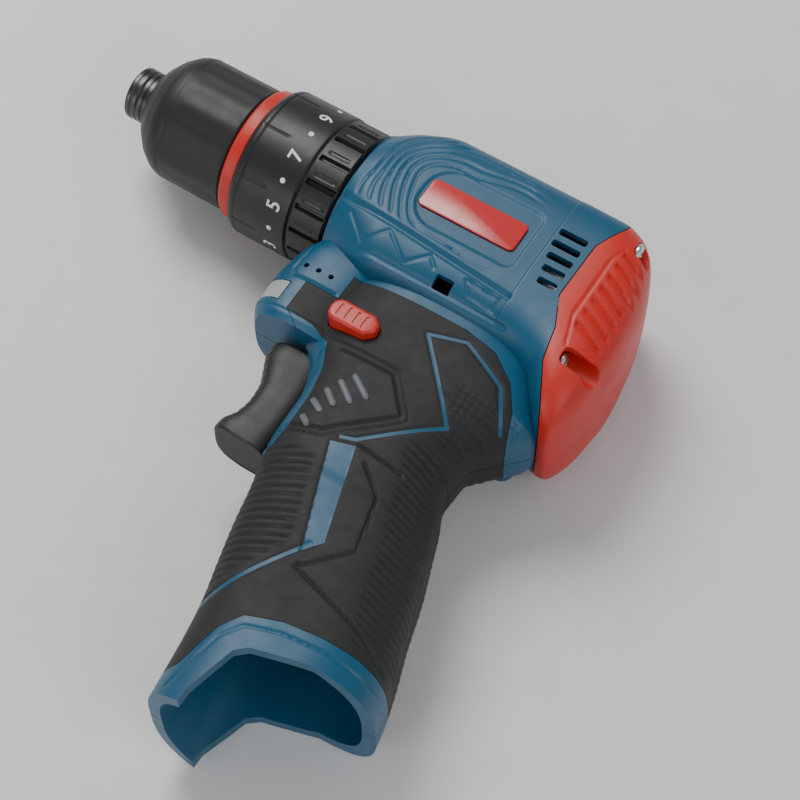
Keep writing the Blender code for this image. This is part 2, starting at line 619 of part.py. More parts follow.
def gearbox():
    alloy = material("gearbox_alloy", (0.45, 0.45, 0.46), 0.45, 1.0)
    steel = material("gear_steel", (0.35, 0.35, 0.36), 0.35, 1.0)
    case = [(49.8, 11.2), (66.0, 11.2), (66.0, 18.2), (99.9, 18.2), (99.9, 15.6), (74.6, 15.6), (74.6, 6.2),
            (57.0, 6.2), (57.0, 9.9), (49.8, 9.9)]
    add("gearbox_case", turned(case), alloy)
    for stage, (front, rear) in ((1, STAGE_1), (2, STAGE_2)):
        outline = gear_outline(RING_TEETH, math.pi / RING_TEETH, internal=True)
        add(f"ring_gear_{stage}", plate(circle(RING_OUTER, 28), front - 1.0, rear + 1.0, outline, "x"), steel,
            pivot=((front + rear) / 2, 0, 0))
        planets(stage, front, rear, steel)
    pinion = plate(gear_outline(SUN_TEETH, 0.0), STAGE_1[0] - 0.7, STAGE_1[1] + 2.5, circle(1.9, 12), "x")
    add("motor_pinion", pinion, steel)
    second_sun = add("second_sun", plate(gear_outline(SUN_TEETH, 0.0), STAGE_2[0] - 0.7, 88.5, axis="x"))
    carrier(1, 87.7, STAGE_1[1] - 0.3, steel, second_sun)
    carrier(2, 76.8, STAGE_2[1] - 0.3, steel, add("output_hub", rod((75.2, 0, 0), (77.5, 0, 0), 8.0, 20)))
    add("spindle_bearing", tube(50.2, 56.7, 9.6, 5.1), material("bearing_steel", STEEL, 0.25, 1.0))
    add("spindle", turned([(29.6, 0), (29.6, 2.4), (37.5, 2.4), (37.5, 4.8), (74.9, 4.8), (74.9, 0)], 28), steel)
    reshape_spindle()


def reshape_spindle():
    """The spindle's front is a thread that the chuck body turns onto, with a blind hole for the chuck screw."""
    spindle = bpy.data.objects["spindle"]
    combine(spindle, "UNION", add("spindle_thread", rod((29.6, 0, 0), (50.0, 0, 0), 4.8, 28)))
    combine(spindle, "DIFFERENCE", add("spindle_bore", rod((20.0, 0, 0), (39.5, 0, 0), 2.4, 12)))


def selector():
    knob = block((86.0, 20.4, -6.0), (95.0, 25.4, 6.0))
    add("speed_selector", knob, material("selector_black", BLACK, 0.5), pivot=(90.5, 23, 0))


# ---------------------------------------------------------------- torque collar and clutch


def clutch():
    collar = [(COLLAR_FRONT, 12.0), (COLLAR_FRONT, 21.6), (COLLAR_FRONT + 1.2, COLLAR_RADIUS),
              (65.9, COLLAR_RADIUS), (66.3, 22.0), (76.9, 22.0), (COLLAR_REAR, 21.4),
              (COLLAR_REAR, COLLAR_BORE), (49.2, COLLAR_BORE),
              (49.2, 12.0)]
    body = add("torque_collar", turned(collar, 36), material("collar_black", BLACK, 0.45))
    for i in range(TORQUE_SETTINGS):
        angle = 2 * math.pi * (i + 0.5) / TORQUE_SETTINGS
        groove = block((67.6, -0.7, 21.1), (76.3, 0.7, 26.0))
        bmesh.ops.rotate(groove, verts=groove.verts, cent=(0, 0, 0), matrix=Matrix.Rotation(angle, 3, "X"))
        combine(body, "DIFFERENCE", add(f"collar_groove_{i}", groove))
    add("accent_ring", turned([(41.8, 12.0), (41.8, 19.4), (42.6, 20.2), (46.1, 20.2), (46.1, 12.0)], 36),
        material("accent_red", RED, 0.35))
    nut = tube(NUT_FRONT, NUT_REAR, 18.6, 11.6)
    add("clutch_nut", nut, material("nut_alloy", STEEL, 0.4, 1.0), pivot=(NUT_FRONT, 0, 0))
    wire = coil(NUT_REAR + GAP, SPRING_END, 14.8, 0.9, 4, steps=14)
    add("clutch_spring", wire, material("clutch_spring_steel", STEEL, 0.3, 1.0))


# ---------------------------------------------------------------- chuck


def chuck():
    steel = material("chuck_steel", (0.30, 0.30, 0.31), 0.35, 1.0)
    profile = [(0, 5.2), (0, 7.5), (0.5, NOSE_RADIUS), (7.2, NOSE_RADIUS), (19.0, 14.6), (20.4, 14.6),
               (20.4, 9.6), (28.0, 9.6), (28.0, 15.2), (40.9, 15.2), (40.9, 5.1), (29.2, 5.1),
               (29.2, 2.5), (26.5, 2.5), (26.5, 5.2)]
    body = add("chuck_body", turned(profile, 30), steel)
    slant = Vector((math.cos(JAW_SLANT), math.sin(JAW_SLANT), 0))
    front = Vector((JAW_FRONT, JAW_AXIS_AT_FRONT, 0))
    for i in range(JAWS):
        turn = Matrix.Rotation(2 * math.pi * i / JAWS, 4, "X")
        bore = rod(turn @ (front - slant * 12), turn @ (front + slant * 35), JAW_RADIUS + GAP, 18)
        combine(body, "DIFFERENCE", add(f"jaw_bore_{i}", bore))
        pin = rod(turn @ (front - slant * 3), turn @ (front + slant * JAW_LENGTH), JAW_RADIUS, 18)
        jaw = add(f"chuck_jaw_{i + 1}", pin, steel, pivot=turn @ front)
        narrow = (JAW_OPENING - JAW_APEX) * math.tan(math.radians(60))
        wide = (12 - JAW_APEX) * math.tan(math.radians(60))
        tip = [(JAW_OPENING, -narrow), (12.0, -wide), (30.0, -wide),
               (30.0, wide), (12.0, wide), (JAW_OPENING, narrow)]
        wedge = plate(tip, JAW_FRONT, 60.0, axis="x")
        bmesh.ops.transform(wedge, verts=wedge.verts, matrix=turn)
        combine(jaw, "INTERSECT", add(f"jaw_wedge_{i}", wedge))
    sleeve = [(7.6, 8.7), (7.6, 9.2), (9.5, 12.4), (12.5, 15.8), (15.5, 18.2), (18.5, SLEEVE_RADIUS),
              (SLEEVE_REAR, SLEEVE_RADIUS), (SLEEVE_REAR, 16.5), (20.2, 16.5), (19.0, 15.1)]
    add("chuck_sleeve", turned(sleeve, 36), material("sleeve_black", BLACK, 0.45))
    add("chuck_nut", tube(20.8, 27.6, 16.2, 12.1), material("chuck_nut_steel", STEEL, 0.4, 1.0))
    screw_profile = [(22.6, 0), (22.6, 4.2), (26.0, 4.2), (26.2, 2.0), (38.5, 2.0), (38.5, 0)]
    add("chuck_screw", turned(screw_profile, 16), material("chuck_screw_steel", STEEL, 0.35, 1.0))


def main():
    clear_scene()
    shapes = cutters()
    for side in ("left", "right"):
        housing(side, shapes)
        grip_cover(side, shapes)
    rear_cover(shapes)
    screws()
    badges()
    trigger()
    switch_parts()
    light_parts()
    battery_terminals()
    motor()
    gearbox()
    selector()
    clutch()
    chuck()


main()
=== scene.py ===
import json
import math

import bpy
import numpy as np
from mathutils import Matrix, Vector
from mathutils.bvhtree import BVHTree


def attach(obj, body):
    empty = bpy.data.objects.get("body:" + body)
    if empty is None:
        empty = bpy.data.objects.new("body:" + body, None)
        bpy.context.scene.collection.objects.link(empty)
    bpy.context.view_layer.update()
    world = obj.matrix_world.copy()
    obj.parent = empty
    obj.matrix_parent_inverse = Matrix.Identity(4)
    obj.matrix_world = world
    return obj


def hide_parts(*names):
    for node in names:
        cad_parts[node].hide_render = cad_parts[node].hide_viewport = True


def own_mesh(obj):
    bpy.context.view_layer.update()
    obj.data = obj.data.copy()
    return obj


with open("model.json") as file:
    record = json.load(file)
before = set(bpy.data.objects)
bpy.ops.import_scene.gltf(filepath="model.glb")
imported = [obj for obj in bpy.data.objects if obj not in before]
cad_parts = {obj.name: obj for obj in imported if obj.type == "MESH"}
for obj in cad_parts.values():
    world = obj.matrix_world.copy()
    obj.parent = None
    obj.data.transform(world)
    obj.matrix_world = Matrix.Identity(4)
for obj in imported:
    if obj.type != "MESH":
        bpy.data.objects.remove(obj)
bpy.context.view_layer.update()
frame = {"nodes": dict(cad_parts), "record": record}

# The drill's own frame is in millimetres: x from the nose to the rear along the spindle, y to the drill's top
# and z to its left side, with the spindle on the x axis. The drill lies on its right side.
MM = 0.001
BOX_CENTRE = np.array([84.25, -65.1, -25.0])
GAP = 0.3
COVER = 1.4
WALL = 2.0
FOOT = -156.0
HALF_WIDTH = 25.0

# Barrel sections: x, top y, bottom y, half width, roundness exponent
BARREL = [
    (78.5, 23.2, -23.2, 23.2, 2.0), (82.0, 23.9, -24.2, 23.9, 2.4), (88.0, 24.8, -25.8, 24.6, 3.2),
    (98.0, 25.7, -27.4, HALF_WIDTH, 4.5), (140.0, 25.8, -27.6, HALF_WIDTH, 4.5),
    (149.0, 25.8, -30.5, HALF_WIDTH, 4.5),
    (154.0, 24.8, -36.5, 24.8, 4.2), (158.5, 21.8, -41.0, 24.2, 3.8), (162.5, 15.0, -42.0, 22.6, 3.4),
    (166.0, 4.5, -37.0, 19.0, 3.0), (168.5, -9.0, -27.0, 12.0, 2.6),
]
# Grip sections: y, front x, rear x, half width, roundness exponent
GRIP = [
    (-18.0, 92.0, 150.0, 18.5, 2.6), (-30.0, 90.0, 157.0, 19.0, 2.8), (-42.0, 88.0, 160.0, 19.3, 3.0),
    (-50.0, 92.0, 153.5, 19.2, 3.0), (-57.0, 97.5, 148.0, 19.0, 3.0), (-66.0, 99.8, 147.5, 19.0, 3.0),
    (-75.0, 100.0, 150.8, 19.3, 3.0), (-83.0, 100.8, 153.6, 20.0, 3.0), (-92.0, 103.5, 156.8, 21.0, 3.0),
    (-106.0, 106.6, 160.7, 22.3, 3.0), (-117.0, 109.5, 164.3, 23.6, 3.0), (-128.0, 112.5, 167.0, 24.8, 3.0),
    (-136.0, 114.0, 168.0, HALF_WIDTH, 3.0), (FOOT, 116.5, 168.0, HALF_WIDTH, 3.0),
]
COLUMN = [
    (-19.0, 77.0, 104.0, 14.5, 2.6), (-26.0, 74.2, 104.0, 15.6, 2.8), (-38.0, 72.6, 104.0, 16.0, 2.8),
    (-46.0, 73.0, 104.0, 15.8, 2.8), (-50.0, 75.5, 104.0, 14.8, 2.8),
]

# The hollows inside, as sections of the same kinds; that of the grip runs out through the foot
CAP_HOLLOW = [
    (140.0, 22.0, -25.5, 22.3, 2.3), (150.0, 22.0, -28.0, 22.3, 2.3), (158.0, 18.0, -35.0, 21.0, 2.3),
    (162.5, 11.5, -36.5, 18.5, 2.3), (165.6, 1.0, -32.0, 13.5, 2.3),
]
BARREL_HOLLOW = [(81.3, *BARREL[1][1:])] + BARREL[2:-1] + [(180.0, *BARREL[-1][1:])]
GRIP_HOLLOW = GRIP[:-2] + [(-180.0, 119.0, 168.3, 25.4, 3.0)]
COLUMN_HOLLOW = [
    (-23.0, 75.0, 109.0, 15.6, 2.8), (-38.0, 72.6, 109.0, 16.0, 2.8), (-48.0, 73.4, 109.0, 15.7, 2.8),
]

# Side-view outlines, x and y
COVER_OUTLINE = [
    (84.4, -36.8), (94.5, -36.8), (94.5, -28.4), (130.0, -28.4), (140.0, -30.0), (147.5, -35.0),
    (152.4, -42.0), (155.0, -50.0), (175.0, -58.0), (175.0, -124.0), (158.0, -123.6), (148.0, -124.4),
    (138.0, -126.0), (128.4, -129.5), (124.5, -135.0), (121.0, -147.0), (118.0, -149.5), (100.0, -149.5),
    (90.0, -84.6), (90.0, -50.4), (84.4, -46.4),
]
CAP_FRONT = [(150.8, 30.0), (150.6, 19.3), (146.9, 9.2), (146.5, -9.2), (150.6, -18.4), (152.4, -27.6),
             (160.4, -42.5), (161.5, -47.0)]
CAP_REAR = [(200.0, -47.0), (200.0, 30.0)]
FOOT_CUT = [(127.0, -170.0), (127.4, -152.0), (131.5, -138.5), (134.5, -136.0), (150.0, -131.6),
            (180.0, -131.6), (180.0, -170.0)]
TRIGGER_WINDOW = ((76.0, -84.4, -9.0), (106.0, -50.9, 9.0))
LENS_WINDOW = ((68.0, -45.3, -20.0), (80.9, -38.7, 20.0))
SELECTOR_WINDOW = ((85.4, 19.0, -7.0), (103.0, 40.0, 7.0))
BUTTON_OUTLINE = [(96.0, -42.3), (96.4, -40.4), (97.6, -39.2), (99.0, -38.9), (108.4, -38.9), (110.7, -41.0),
                  (110.7, -43.4), (108.2, -45.7), (99.0, -45.7), (97.4, -45.3), (96.4, -44.2)]
BADGE = (99.0, 129.0, -4.3, 5.4)
BADGE_FLOOR, BADGE_FACE = 24.0, 24.9
HOUSING_SCREWS = [(100.0, -32.5), (150.0, -41.0), (140.5, -70.0), (111.0, -95.0), (120.0, 21.6)]
CAP_SCREWS = [(16.4, 20.0), (-23.8, 20.0), (16.4, -20.0), (-23.8, -20.0)]
CAP_SCREW_HEAD_X = 157.6
SCREW_RADIUS, SCREW_HEAD_RADIUS, SCREW_HEAD_HEIGHT = 1.3, 2.7, 1.6
HEAD_SEAT_Z = -11.0

# Raised and sunk lines of the shell, x and y
CHANNEL = [(78.0, -10.6), (84.4, -12.0), (135.2, -16.6)]
ZIGZAG = [(84.0, -14.6), (91.5, -21.4), (97.5, -15.2), (105.5, -21.8), (111.0, -16.4), (113.6, -19.0)]
LOWER_PANEL = [(123.0, -17.8), (133.6, -18.6), (133.6, -22.0), (125.5, -21.4), (123.0, -17.8)]
BAND_LINE = [(82.0, -23.2), (120.0, -23.6), (138.5, -24.1)]
GAUGE_LOBE = [(78.6, -25.0), (78.4, -34.0), (80.0, -36.2), (93.4, -36.2)]
PANEL_LINE = [(104.5, -50.6), (121.2, -50.6), (129.4, -59.8), (113.8, -73.6), (103.5, -75.6)]
PANEL_INSIDE = PANEL_LINE + [(101.5, -75.6), (101.5, -50.6)]
COVER_GROOVES = [
    [(124.5, -72.6), (138.5, -73.8)],
    [(129.0, -76.5), (137.0, -83.0), (141.4, -99.4), (132.2, -110.4), (131.2, -110.1)],
    [(131.0, -111.4), (155.2, -117.8), (164.4, -122.6)],
]
ACCENT_LINES = [
    ([(152.4, -47.8), (146.0, -37.7), (132.2, -31.6), (122.0, -35.0), (140.5, -55.2), (123.0, -71.8),
      (119.0, -73.2)], 1.0),
    ([(130.6, -104.0), (118.4, -124.2), (114.0, -131.0)], 1.1),
]
WIDE_STRIPE = [(117.6, -75.4), (124.2, -73.4), (133.4, -101.8), (129.8, -106.6)]
TRIM = [(70.0, -46.7), (84.7, -46.7), (93.5, -47.2), (99.4, -49.6), (102.8, -56.6), (104.4, -66.0),
        (104.6, -75.0), (103.6, -82.0), (101.2, -88.2), (90.0, -88.2), (70.0, -88.2)]
FOOT_LINE = [(121.5, -153.5), (126.0, -136.8), (130.0, -131.8), (139.1, -128.8), (150.5, -127.2),
             (168.0, -127.0)]
RIBS = [((106.4, -71.9), (110.0, -74.5)), ((105.9, -66.3), (110.8, -69.6)), ((107.7, -62.2), (112.9, -66.5)),
        ((109.6, -58.6), (116.4, -63.8)), ((112.0, -55.6), (119.3, -60.5))]


# ---------------------------------------------------------------- numbers


def smooth(table, column, at):
    """A column of a section table, followed smoothly without overshoot."""
    knots = np.array([row[0] for row in table], float)
    values = np.array([row[column] for row in table], float)
    if knots[0] > knots[-1]:
        knots, values = knots[::-1], values[::-1]
    gaps = np.diff(knots)
    slopes = np.diff(values) / gaps
    turns = np.zeros(len(knots))
    turns[0], turns[-1] = slopes[0], slopes[-1]
    for i in range(1, len(knots) - 1):
        if slopes[i - 1] * slopes[i] > 0:
            turns[i] = 2 * slopes[i - 1] * slopes[i] / (slopes[i - 1] + slopes[i])
    at = np.clip(at, knots[0], knots[-1])
    i = np.clip(np.searchsorted(knots, at) - 1, 0, len(knots) - 2)
    t = (at - knots[i]) / gaps[i]
    return ((1 + 2 * t) * (1 - t) ** 2 * values[i] + t * (1 - t) ** 2 * gaps[i] * turns[i]
            + t * t * (3 - 2 * t) * values[i + 1] + t * t * (t - 1) * gaps[i] * turns[i + 1])


def step(low, high, value):
    t = np.clip((value - low) / (high - low), 0, 1)
    return t * t * (3 - 2 * t)


def line_distance(x, y, line):
    """Distance from each point to a polyline."""
    best = np.full(x.shape, 1e9)
    for (x0, y0), (x1, y1) in zip(line, line[1:]):
        dx, dy = x1 - x0, y1 - y0
        t = np.clip(((x - x0) * dx + (y - y0) * dy) / (dx * dx + dy * dy), 0, 1)
        best = np.minimum(best, np.hypot(x - x0 - t * dx, y - y0 - t * dy))
    return best


def area_distance(x, y, outline):
    """Signed distance to a closed outline, negative inside."""
    inside = np.zeros(x.shape, bool)
    closed = outline + outline[:1]
    for (x0, y0), (x1, y1) in zip(closed, closed[1:]):
        if y0 != y1:
            crossing = (y0 > y) != (y1 > y)
            inside ^= crossing & (x < (x1 - x0) * (y - y0) / (y1 - y0) + x0)
    return np.where(inside, -1, 1) * line_distance(x, y, closed)


def groove(distance, width, depth):
    return -depth * step(width / 2, 0.0, distance)


def wave(value, pitch, sharpness=1.0):
    """Rounded waves: 1 at each pitch, with a narrow 0 between."""
    return np.abs(np.cos(math.pi * value / pitch)) ** sharpness


# ---------------------------------------------------------------- meshes


def to_world(points):
    return (np.asarray(points, float) - BOX_CENTRE) * MM


def new_object(name, points, faces):
    """An object from points in the drill's own frame."""
    data = bpy.data.meshes.new(name)
    data.from_pydata(to_world(points).tolist(), [], [list(map(int, face)) for face in faces])
    data.update()
    made = bpy.data.objects.new(name, data)
    bpy.context.scene.collection.objects.link(made)
    return made


def loft(rings):
    """Points and faces of a closed form through equal rings, with all its faces pointing out."""
    count, around = rings.shape[:2]
    i, j = np.arange(count - 1)[:, None] * around, np.arange(around)[None, :]
    after = (j + 1) % around
    quads = np.stack([i + j, i + after, i + around + after, i + around + j], -1).reshape(-1, 4)
    last = (count - 1) * around
    faces = quads.tolist() + [list(range(around))[::-1], list(range(last, last + around))]
    points = rings.reshape(-1, 3)
    return points, outward(points, faces)


def outward(points, faces):
    """Turns all faces round if the form is inside out."""
    volume = 0.0
    for face in faces:
        a = points[face[0]]
        for k in range(1, len(face) - 1):
            volume += float(np.dot(a, np.cross(points[face[k]], points[face[k + 1]])))
    return faces if volume > 0 else [face[::-1] for face in faces]


def signed_power(values, power):
    return np.sign(values) * np.abs(values) ** power


def even_ring(low_a, high_a, low_b, high_b, exponent, around):
    """A superellipse between the limits, with evenly spaced points."""
    fine = np.linspace(0, 2 * math.pi, 721)
    a = signed_power(np.cos(fine), 2 / exponent) * (high_a - low_a) / 2 + (low_a + high_a) / 2
    b = signed_power(np.sin(fine), 2 / exponent) * (high_b - low_b) / 2 + (low_b + high_b) / 2
    run = np.concatenate([[0], np.cumsum(np.hypot(np.diff(a), np.diff(b)))])
    at = np.linspace(0, run[-1], around, endpoint=False)
    return np.interp(at, run, a), np.interp(at, run, b)


def barrel_form(name, spacing, around, inset=0.0, table=BARREL):
    """A form along the spindle through a table's sections, made smaller all round by the inset."""
    rings = []
    positions = np.arange(table[0][0], table[-1][0] - spacing / 2, spacing).tolist() + [table[-1][0]]
    for x in positions:
        top, bottom, half, exponent = (float(smooth(table, k, np.array([x]))[0]) for k in range(1, 5))
        y, z = even_ring(bottom + inset, top - inset, inset - half, half - inset, exponent, around)
        rings.append(np.stack([np.full(around, x), y, z], -1))
    return new_object(name, *loft(np.array(rings)))


def upright_form(name, table, spacing, around, inset=0.0):
    """A form that runs down through a table's sections, made smaller all round by the inset."""
    rings = []
    positions = np.arange(table[0][0], table[-1][0] + spacing / 2, -spacing).tolist() + [table[-1][0]]
    for y in positions:
        front, rear, half, exponent = (float(smooth(table, k, np.array([y]))[0]) for k in range(1, 5))
        x, z = even_ring(front + inset, rear - inset, inset - half, half - inset, exponent, around)
        rings.append(np.stack([x, np.full(around, y), z], -1))
    return new_object(name, *loft(np.array(rings)))


def turned(name, profile, around, spacing=None, relief=None):
    """Turns a profile of (x, radius) about the spindle; relief gives what comes off the radius."""
    rows = []
    for (x0, r0), (x1, r1) in zip(profile, profile[1:] + profile[:1]):
        pieces = max(1, round(math.hypot(x1 - x0, r1 - r0) / spacing)) if spacing else 1
        rows += [(x0 + (x1 - x0) * k / pieces, r0 + (r1 - r0) * k / pieces) for k in range(pieces)]
    rows = np.array(rows)
    turns = np.linspace(0, 2 * math.pi, around, endpoint=False)
    x, turn = np.meshgrid(rows[:, 0], turns, indexing="ij")
    radius = np.repeat(rows[:, 1][:, None], around, 1)
    if relief:
        radius = radius - relief(x, turn, radius)
    points = np.stack([x, radius * np.sin(turn), radius * np.cos(turn)], -1)
    count = len(rows)
    i, j = np.arange(count)[:, None], np.arange(around)[None, :]
    below, after = (i + 1) % count, (j + 1) % around
    faces = np.stack(np.broadcast_arrays(i * around + j, i * around + after, below * around + after,
                                         below * around + j), -1).reshape(-1, 4)
    points = points.reshape(-1, 3)
    return new_object(name, points, outward(points, faces.tolist()))


def prism(name, outline, low, high):
    """An outline in x and y, drawn out along z from low to high."""
    count = len(outline)
    points = np.array([(a, b, low) for a, b in outline] + [(a, b, high) for a, b in outline], float)
    faces = [list(range(count))[::-1], list(range(count, 2 * count))]
    faces += [[i, (i + 1) % count, (i + 1) % count + count, i + count] for i in range(count)]
    area = sum(x0 * y1 - x1 * y0 for (x0, y0), (x1, y1) in zip(outline, outline[1:] + outline[:1]))
    return new_object(name, points, faces if area > 0 else [face[::-1] for face in faces])


def block(name, low, high):
    (x0, y0, z0), (x1, y1, z1) = low, high
    return prism(name, [(x0, y0), (x1, y0), (x1, y1), (x0, y1)], z0, z1)


def slot_outline(x0, x1, y0, y1, radius, steps=6):
    """A rounded rectangle."""
    corners = [(x1 - radius, y1 - radius, 0), (x0 + radius, y1 - radius, 90), (x0 + radius, y0 + radius, 180),
               (x1 - radius, y0 + radius, 270)]
    outline = []
    for x, y, start in corners:
        for k in range(steps + 1):
            angle = math.radians(start + 90 * k / steps)
            outline.append((x + radius * math.cos(angle), y + radius * math.sin(angle)))
    return outline


def ribbon(line, width):
    """The outline of a band of even width along a polyline, with mitred corners."""
    sides = [[], []]
    for i, point in enumerate(line):
        here = Vector(point)
        before = (here - Vector(line[i - 1])).normalized() if i else None
        after = (Vector(line[i + 1]) - here).normalized() if i < len(line) - 1 else None
        normals = [Vector((-d.y, d.x)) for d in (before, after) if d]
        middle = sum(normals, Vector((0, 0))).normalized()
        reach = width / 2 / max(0.35, middle.dot(normals[0]))
        sides[0].append(tuple(here + middle * reach))
        sides[1].append(tuple(here - middle * reach))
    return sides[0] + sides[1][::-1]


def grown(outline, distance):
    """The outline with each corner moved outwards."""
    area = sum(x0 * y1 - x1 * y0 for (x0, y0), (x1, y1) in zip(outline, outline[1:] + outline[:1]))
    sign = -1 if area > 0 else 1
    moved = []
    for i, point in enumerate(outline):
        here = Vector(point)
        first = (here - Vector(outline[i - 1])).normalized()
        second = (Vector(outline[(i + 1) % len(outline)]) - here).normalized()
        normal = Vector((-first.y - second.y, first.x + second.x)).normalized() * sign
        mitre = normal.dot(Vector((-first.y, first.x)) * sign)
        moved.append(tuple(here + normal * distance / max(0.3, mitre)))
    return moved


def rod(name, start, end, radius, steps=32):
    start, end = Vector(start), Vector(end)
    along = (end - start).normalized()
    side = along.orthogonal().normalized()
    other = along.cross(side)
    turns = [2 * math.pi * k / steps for k in range(steps)]
    points = [tuple(p + (side * math.cos(a) + other * math.sin(a)) * radius)
              for p in (start, end) for a in turns]
    faces = [list(range(steps))[::-1], list(range(steps, 2 * steps))]
    faces += [[k, (k + 1) % steps, (k + 1) % steps + steps, k + steps] for k in range(steps)]
    return new_object(name, points, faces)


def carve(target, operation, *tools, keep=(), solver="MANIFOLD"):
    """Applies one Boolean per tool, and removes each tool that isn't kept."""
    for tool in tools:
        change = target.modifiers.new("change", "BOOLEAN")
        change.operation, change.object, change.solver = operation, tool, solver
        bpy.context.view_layer.update()
        graph = bpy.context.evaluated_depsgraph_get()
        result = bpy.data.meshes.new_from_object(target.evaluated_get(graph))
        target.modifiers.clear()
        before = target.data
        target.data = result
        bpy.data.meshes.remove(before)
        if tool not in keep:
            drop(tool)
    return target


def drop(*objects):
    for obj in objects:
        data = obj.data
        bpy.data.objects.remove(obj, do_unlink=True)
        if isinstance(data, bpy.types.Mesh) and data.users == 0:
            bpy.data.meshes.remove(data)


def copy_of(obj, name):
    made = bpy.data.objects.new(name, obj.data.copy())
    bpy.context.scene.collection.objects.link(made)
    return made


def mirrored(obj, name):
    """The same piece for the right side."""
    made = copy_of(obj, name)
    count = len(made.data.vertices)
    points = np.empty(count * 3, np.float32)
    made.data.vertices.foreach_get("co", points)
    points = points.reshape(-1, 3)
    points[:, 2] = 2 * HALF_WIDTH * MM - points[:, 2]
    made.data.vertices.foreach_set("co", points.ravel())
    made.data.flip_normals()
    return made


def displace(obj, relief):
    """Moves each point along its normal by relief(x, y, z, normals), in millimetres."""
    data = obj.data
    count = len(data.vertices)
    points, normals = np.empty(count * 3, np.float32), np.empty(count * 3, np.float32)
    data.vertices.foreach_get("co", points)
    data.vertex_normals.foreach_get("vector", normals)
    points, normals = points.reshape(-1, 3).astype(float), normals.reshape(-1, 3).astype(float)
    place = points / MM + BOX_CENTRE
    amount = relief(place[:, 0], place[:, 1], place[:, 2], normals)
    data.vertices.foreach_set("co", (points + normals * amount[:, None] * MM).astype(np.float32).ravel())
    data.update()
    return obj


def finish_piece(obj, body, slot, look, *nodes, sharp=35):
    """Shades a piece, gives it its material, and lets it ride on its body in place of the CAD nodes."""
    obj.data.materials.clear()
    obj.data.materials.append(look)
    obj.data.shade_smooth()
    obj.data.set_sharp_from_angle(angle=math.radians(sharp))
    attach(obj, body)
    if nodes:
        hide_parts(*nodes)
    return obj


# ---------------------------------------------------------------- materials


def surface(name, colour, roughness, metallic=0.0, mottle=0.10, spread=0.06, grain=2600.0, bump=0.25,
            wear=0.0, stretch=(1.0, 1.0, 1.0), coat=0.0):
    """A procedural finish: slow colour change, uneven gloss, a fine grain and paler edges where it wears."""
    made = bpy.data.materials.new(name)
    made.use_nodes = True
    nodes, links = made.node_tree.nodes, made.node_tree.links
    shader = nodes["Principled BSDF"]
    shader.inputs["Metallic"].default_value = metallic
    shader.inputs["Coat Weight"].default_value = coat
    shader.inputs["Coat Roughness"].default_value = 0.25
    place = nodes.new("ShaderNodeTexCoord")
    warp = nodes.new("ShaderNodeMapping")
    warp.inputs["Scale"].default_value = stretch
    links.new(place.outputs["Object"], warp.inputs["Vector"])

    def noise(scale, detail, source):
        made_noise = nodes.new("ShaderNodeTexNoise")
        made_noise.inputs["Scale"].default_value = scale
        made_noise.inputs["Detail"].default_value = detail
        links.new(source, made_noise.inputs["Vector"])
        return made_noise.outputs["Fac"]

    cloud = noise(55.0, 4.0, place.outputs["Object"])
    tint = nodes.new("ShaderNodeValToRGB")
    tint.color_ramp.elements[0].position, tint.color_ramp.elements[1].position = 0.3, 0.7
    tint.color_ramp.elements[0].color = (*[c * (1 - mottle) for c in colour], 1)
    tint.color_ramp.elements[1].color = (*[min(1, c * (1 + mottle)) for c in colour], 1)
    links.new(cloud, tint.inputs["Fac"])
    last = tint.outputs["Color"]
    if wear:
        geometry = nodes.new("ShaderNodeNewGeometry")
        edge = nodes.new("ShaderNodeMapRange")
        edge.inputs["From Min"].default_value, edge.inputs["From Max"].default_value = 0.515, 0.60
        edge.inputs["To Max"].default_value = wear
        links.new(geometry.outputs["Pointiness"], edge.inputs["Value"])
        patch = nodes.new("ShaderNodeMath")
        patch.operation = "MULTIPLY"
        links.new(edge.outputs["Result"], patch.inputs[0])
        links.new(noise(420.0, 3.0, place.outputs["Object"]), patch.inputs[1])
        pale = nodes.new("ShaderNodeMix")
        pale.data_type = "RGBA"
        links.new(patch.outputs["Value"], pale.inputs["Factor"])
        links.new(last, pale.inputs["A"])
        pale.inputs["B"].default_value = (*[min(1, c * 1.6 + 0.12) for c in colour], 1)
        last = pale.outputs["Result"]
    links.new(last, shader.inputs["Base Color"])
    gloss = nodes.new("ShaderNodeMapRange")
    gloss.inputs["From Min"].default_value, gloss.inputs["From Max"].default_value = 0.3, 0.7
    gloss.inputs["To Min"].default_value = max(0.02, roughness - spread)
    gloss.inputs["To Max"].default_value = min(1.0, roughness + spread)
    links.new(noise(240.0, 5.0, place.outputs["Object"]), gloss.inputs["Value"])
    links.new(gloss.outputs["Result"], shader.inputs["Roughness"])
    relief = nodes.new("ShaderNodeBump")
    relief.inputs["Strength"].default_value = bump
    relief.inputs["Distance"].default_value = 0.00012
    links.new(noise(grain, 2.0, warp.outputs["Vector"]), relief.inputs["Height"])
    links.new(relief.outputs["Normal"], shader.inputs["Normal"])
    return made


